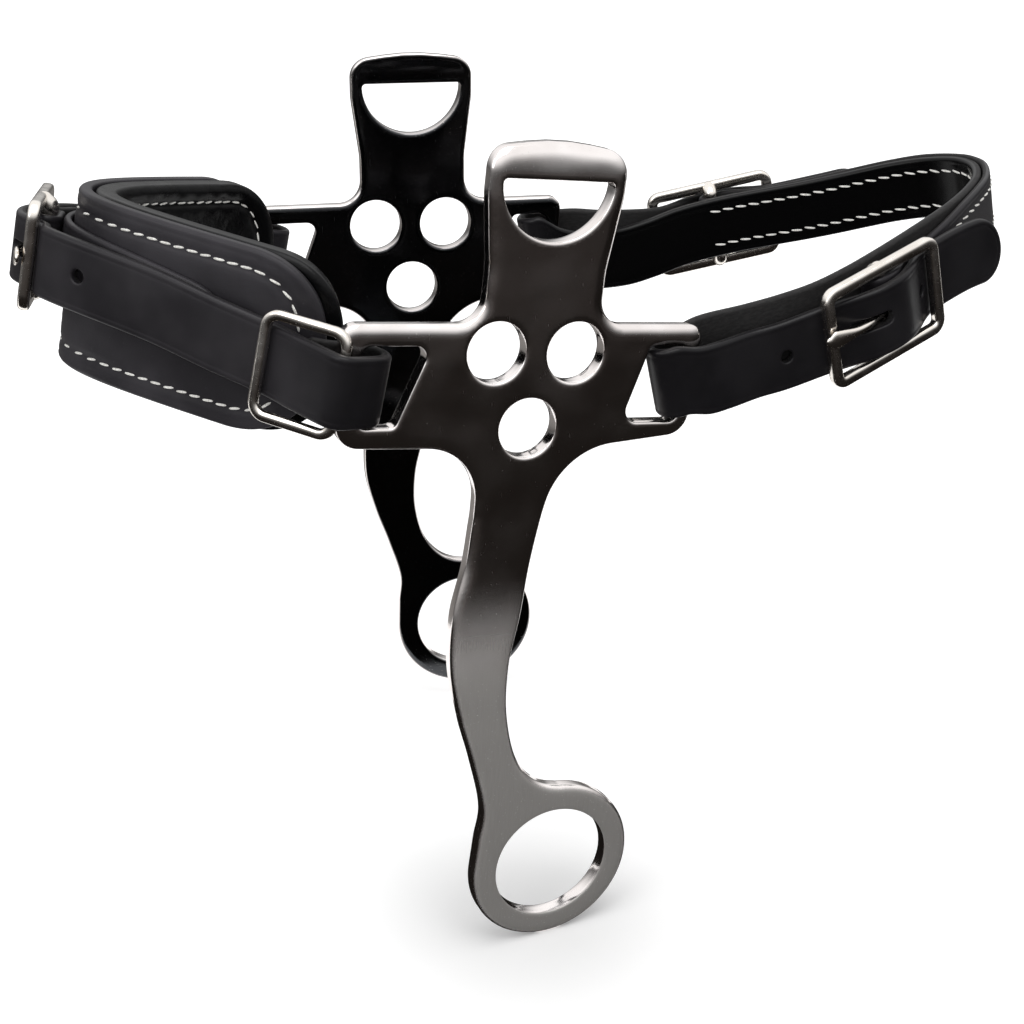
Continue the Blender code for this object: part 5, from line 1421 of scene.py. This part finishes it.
holes, notches = [], []
for side in (-1, 1):
    plane, out, way = buckles[side][:3]
    slot_place = plane - way * CURB_SLOT_REACH + out * 4.6
    low, high = curb_strap.inside(slot_place, way, CURB_SLOT_LENGTH, out, 7.0)
    slot_middle = (low + high) / 2.0
    holes.append(oval(slot_middle, CURB_BUCKLE_HEIGHT[side] - height_on(BILLET_LINE[side], slot_place[0]),
                      high - low, TONGUE_SLOT))
    holes += [oval(slot_middle + side * step, 0.0, PUNCH, PUNCH) for step in CURB_HOLE_STEPS]
    low, high = outer_ply.inside(plane + way * 0.4, way, 10.4, out, 11.0)
    notches.append(oval((low + high) / 2.0, CURB_BUCKLE_HEIGHT[side] - height_on(PLY_LINE[side], plane[0]),
                        high - low, PLY_NOTCH))
strap_piece("curb_strap", curb_strap, CURB_WIDTH, STRAP, -1.0, (STRAP_TIP, STRAP_TIP), holes, "curb",
            ["curb_strap"], bridle, CURB_PAINTED_SHADE)
strap_piece("curb_outer_ply", outer_ply, OUTER_PLY_WIDTH, OUTER_PLY, 1.0, (0.0, 0.0), notches, "curb",
            ["curb_outer_ply"], bridle)

for side, word in ((-1, "near"), (1, "far")):
    plane, out, way = buckles[side][:3]
    height = CURB_BUCKLE_HEIGHT[side]
    buckle(word + "_curb_buckle", "curb", curb, plane, way, out, height,
           CURB_BUCKLE_LENGTH, CURB_END_RISE, CURB_BUCKLE_SLOPE[side], 3.4)
    rest = CURB_END_RISE + end_radius + TONGUE_WIRE / 2.0 + TONGUE_GAP
    tongue(word + "_curb_tongue", word + "_curb_tongue", word + "_curb_pin", curb, plane, -way, out, height,
           [(3.2, bar_radius + TONGUE_GAP + TONGUE_WIRE / 2.0 + 0.5), (10.0, rest + 0.2),
            (curb_half_span, rest + 0.1), (curb_half_span + 2.6, rest - 0.3)])

# Stitching of the curb. Curb strap and outer ply are sewn together by two rows of
# the same waxed thread, seen on the inner face and on the outer ply's back.
CURB_ROW = 5.7
CURB_PITCH = 4.1
CURB_SLANT = -9.0
INNER_ROWS = (190.5, 365.8)
OUTER_ROWS = (47.7, 169.8)


def strap_stitches(name, strap, grain, thickness, first, last):
    """Two straight rows between two runs of a strap, sunk into its smooth side."""
    run = np.linspace(first, last, int((last - first) / CURB_PITCH))
    parts = []
    for across in (-CURB_ROW, CURB_ROW):
        spots = strap.at(run, np.full(len(run), across), np.full(len(run), grain * thickness / 2.0))
        parts.append(stitch_row(spots, strap.along(strap.way, run), strap.along(strap.out, run) * grain,
                                CURB_SLANT, STITCH_LENGTH + 0.3))
    points, faces, pattern = together(parts)
    piece(name, points, faces, thread, "curb", [], pattern)


strap_stitches("curb_inner_stitches", curb_strap, -1.0, STRAP, *INNER_ROWS)
strap_stitches("curb_outer_stitches", outer_ply, 1.0, OUTER_PLY, *OUTER_ROWS)

# Studio. A white table and white surroundings, one large soft lamp overhead and a
# second from the left. Reflections alone see a dark card in front and a grey one
# behind, as polished metal is photographed. The camera stands as for the photograph.
FLOOR_HEIGHT = -184.6
RING_FOOT = (98.0, -70.0, FLOOR_HEIGHT)
SHEET = 9000.0
CARD_LIFT = 0.5
FRONT_CARD_EDGE = 40.0
BACK_CARD_EDGE = 180.0
OVERHEAD = ((20.0, -380.0, 1080.0), (100.0, 0.0, -60.0), 1000.0, 9.0)
LEFT_FILL = ((-900.0, -500.0, 650.0), (80.0, 0.0, -40.0), 700.0, 3.0)
CAMERA_PLACE = (-30.2, -438.5, 116.6)
CAMERA_TURN = 18.10
CAMERA_DIP = 23.41
CAMERA_LENS = 57.6


def add_object(name, data):
    """An object of the studio, linked to the scene."""
    made = bpy.data.objects.new(name, data)
    bpy.context.scene.collection.objects.link(made)
    return made


def stand_at(made, rows, place):
    """Turn an object so that its own x, y and z axes are the rows, and put it at place."""
    stand = Matrix(rows).transposed().to_4x4()
    stand.translation = [c * MM for c in place]
    made.matrix_world = stand


def stage_sheet(name, middle_y, height, depth, material):
    """Flat rectangle of the sheet's width, facing up."""
    x, y = SHEET / 2.0, depth / 2.0
    centre = (100.0, middle_y, height)
    corners = np.array([(-x, -y, 0.0), (x, -y, 0.0), (x, y, 0.0), (-x, y, 0.0)]) + centre
    mesh = bpy.data.meshes.new(name)
    mesh.from_pydata((corners * MM).tolist(), [], [(0, 1, 2, 3)])
    mesh.materials.append(material)
    made = add_object(name, mesh)
    made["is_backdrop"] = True
    return made


def soft_lamp(name, place, target, size, power):
    """Square area lamp in millimetres that looks at target."""
    lamp = bpy.data.lights.new(name, "AREA")
    lamp.size = size * MM
    lamp.energy = power
    back = unit(np.array(place) - np.array(target))
    across = unit(np.cross((0.0, 0.0, 1.0), back))
    stand_at(add_object(name, lamp), [across, np.cross(back, across), back], place)


table, t = new_material("white_table", base_color=(0.86, 0.86, 0.86), roughness=0.9, specular_ior_level=0.0,
                        emission_color=(1.0, 1.0, 1.0))
rays = t.add("ShaderNodeLightPath")
seen = t.add("ShaderNodeMath", operation="MAXIMUM")
t.join(rays.outputs["Is Camera Ray"], seen.inputs[0])
t.join(rays.outputs["Is Glossy Ray"], seen.inputs[1])
# The table glows for camera and reflected rays. The glow is least round the near ring's foot, a painted
# shadow that deepens the real contact shadow there, and stronger further off, a painted light that washes out
# the other shadows and the lamps' falloff.
away = t.add("ShaderNodeVectorMath", operation="DISTANCE")
t.join(t.place, away.inputs[0])
away.inputs[1].default_value = [c * MM for c in RING_FOOT]
glow = t.span(away.outputs["Value"], 0.01, 0.085, 0.17, 0.54)
glow = t.blend(rays.outputs["Is Glossy Ray"], glow, 0.62)
glow = t.blend(t.span(away.outputs["Value"], 0.15, 0.8), glow, 0.95)
t.give("Emission Strength", t.blend(seen.outputs["Value"], 0.0, glow))
stage_sheet("floor", 0.0, FLOOR_HEIGHT, SHEET, table)

# The two cards are painted dark reflections, seen by reflections alone: the front one near black close to the
# object and greyer further off, the back one mid grey.
card_black, t = new_material("card_black", roughness=1.0, specular_ior_level=0.0)
depth = t.add("ShaderNodeMath", operation="MULTIPLY_ADD")
t.join(t.noise(t.place, 5.0, 2.0), depth.inputs[0])
depth.inputs[1].default_value = 0.30
t.join(t.split(t.place)["Y"], depth.inputs[2])
shade = t.blend(t.span(depth.outputs["Value"], -0.30, -0.50), (0.015, 0.0128, 0.0115), (0.038, 0.033, 0.031))
t.give("Base Color", t.blend(t.span(depth.outputs["Value"], -0.55, -1.60), shade, (0.17, 0.155, 0.15)))
card_grey, t = new_material("card_grey", base_color=(0.33, 0.32, 0.31), roughness=1.0, specular_ior_level=0.0)
for name, middle_y, shade in (("front_card", FRONT_CARD_EDGE - SHEET / 4.0, card_black),
                              ("back_card", BACK_CARD_EDGE + SHEET / 4.0, card_grey)):
    card = stage_sheet(name, middle_y, FLOOR_HEIGHT + CARD_LIFT, SHEET / 2.0, shade)
    card.visible_camera = False
    card.visible_diffuse = False
    card.visible_shadow = False
soft_lamp("overhead", *OVERHEAD)
soft_lamp("left_fill", *LEFT_FILL)

world = bpy.data.worlds.new("white_room")
bpy.context.scene.world = world
world.use_nodes = True
t = node_kit(world.node_tree)
rays = t.add("ShaderNodeLightPath")
height = t.split(t.add("ShaderNodeTexCoord").outputs["Generated"])["Z"]
mirrored = t.span(height, -0.05, 0.55, 0.10, 1.15)
scattered = t.span(height, 0.0, 0.75, 0.98, 0.22)
reflected = t.span(rays.outputs["Is Glossy Ray"], 0.0, 1.0, scattered, mirrored)
sky = world.node_tree.nodes["Background"]
sky.inputs["Color"].default_value = (1.0, 1.0, 1.0, 1.0)
t.join(t.span(rays.outputs["Is Camera Ray"], 0.0, 1.0, reflected, 1.0), sky.inputs["Strength"])

lens = bpy.data.cameras.new("camera")
lens.lens = CAMERA_LENS
lens.clip_start = 0.01
lens.clip_end = 100.0
camera = add_object("camera", lens)
turn, dip = math.radians(CAMERA_TURN), math.radians(CAMERA_DIP)
forward = np.array([math.sin(turn) * math.cos(dip), math.cos(turn) * math.cos(dip), -math.sin(dip)])
right = np.array([math.cos(turn), -math.sin(turn), 0.0])
stand_at(camera, [right, np.cross(right, forward), -forward], CAMERA_PLACE)
bpy.context.scene.camera = camera
bpy.context.scene.view_settings.view_transform = "Standard"

low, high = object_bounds()
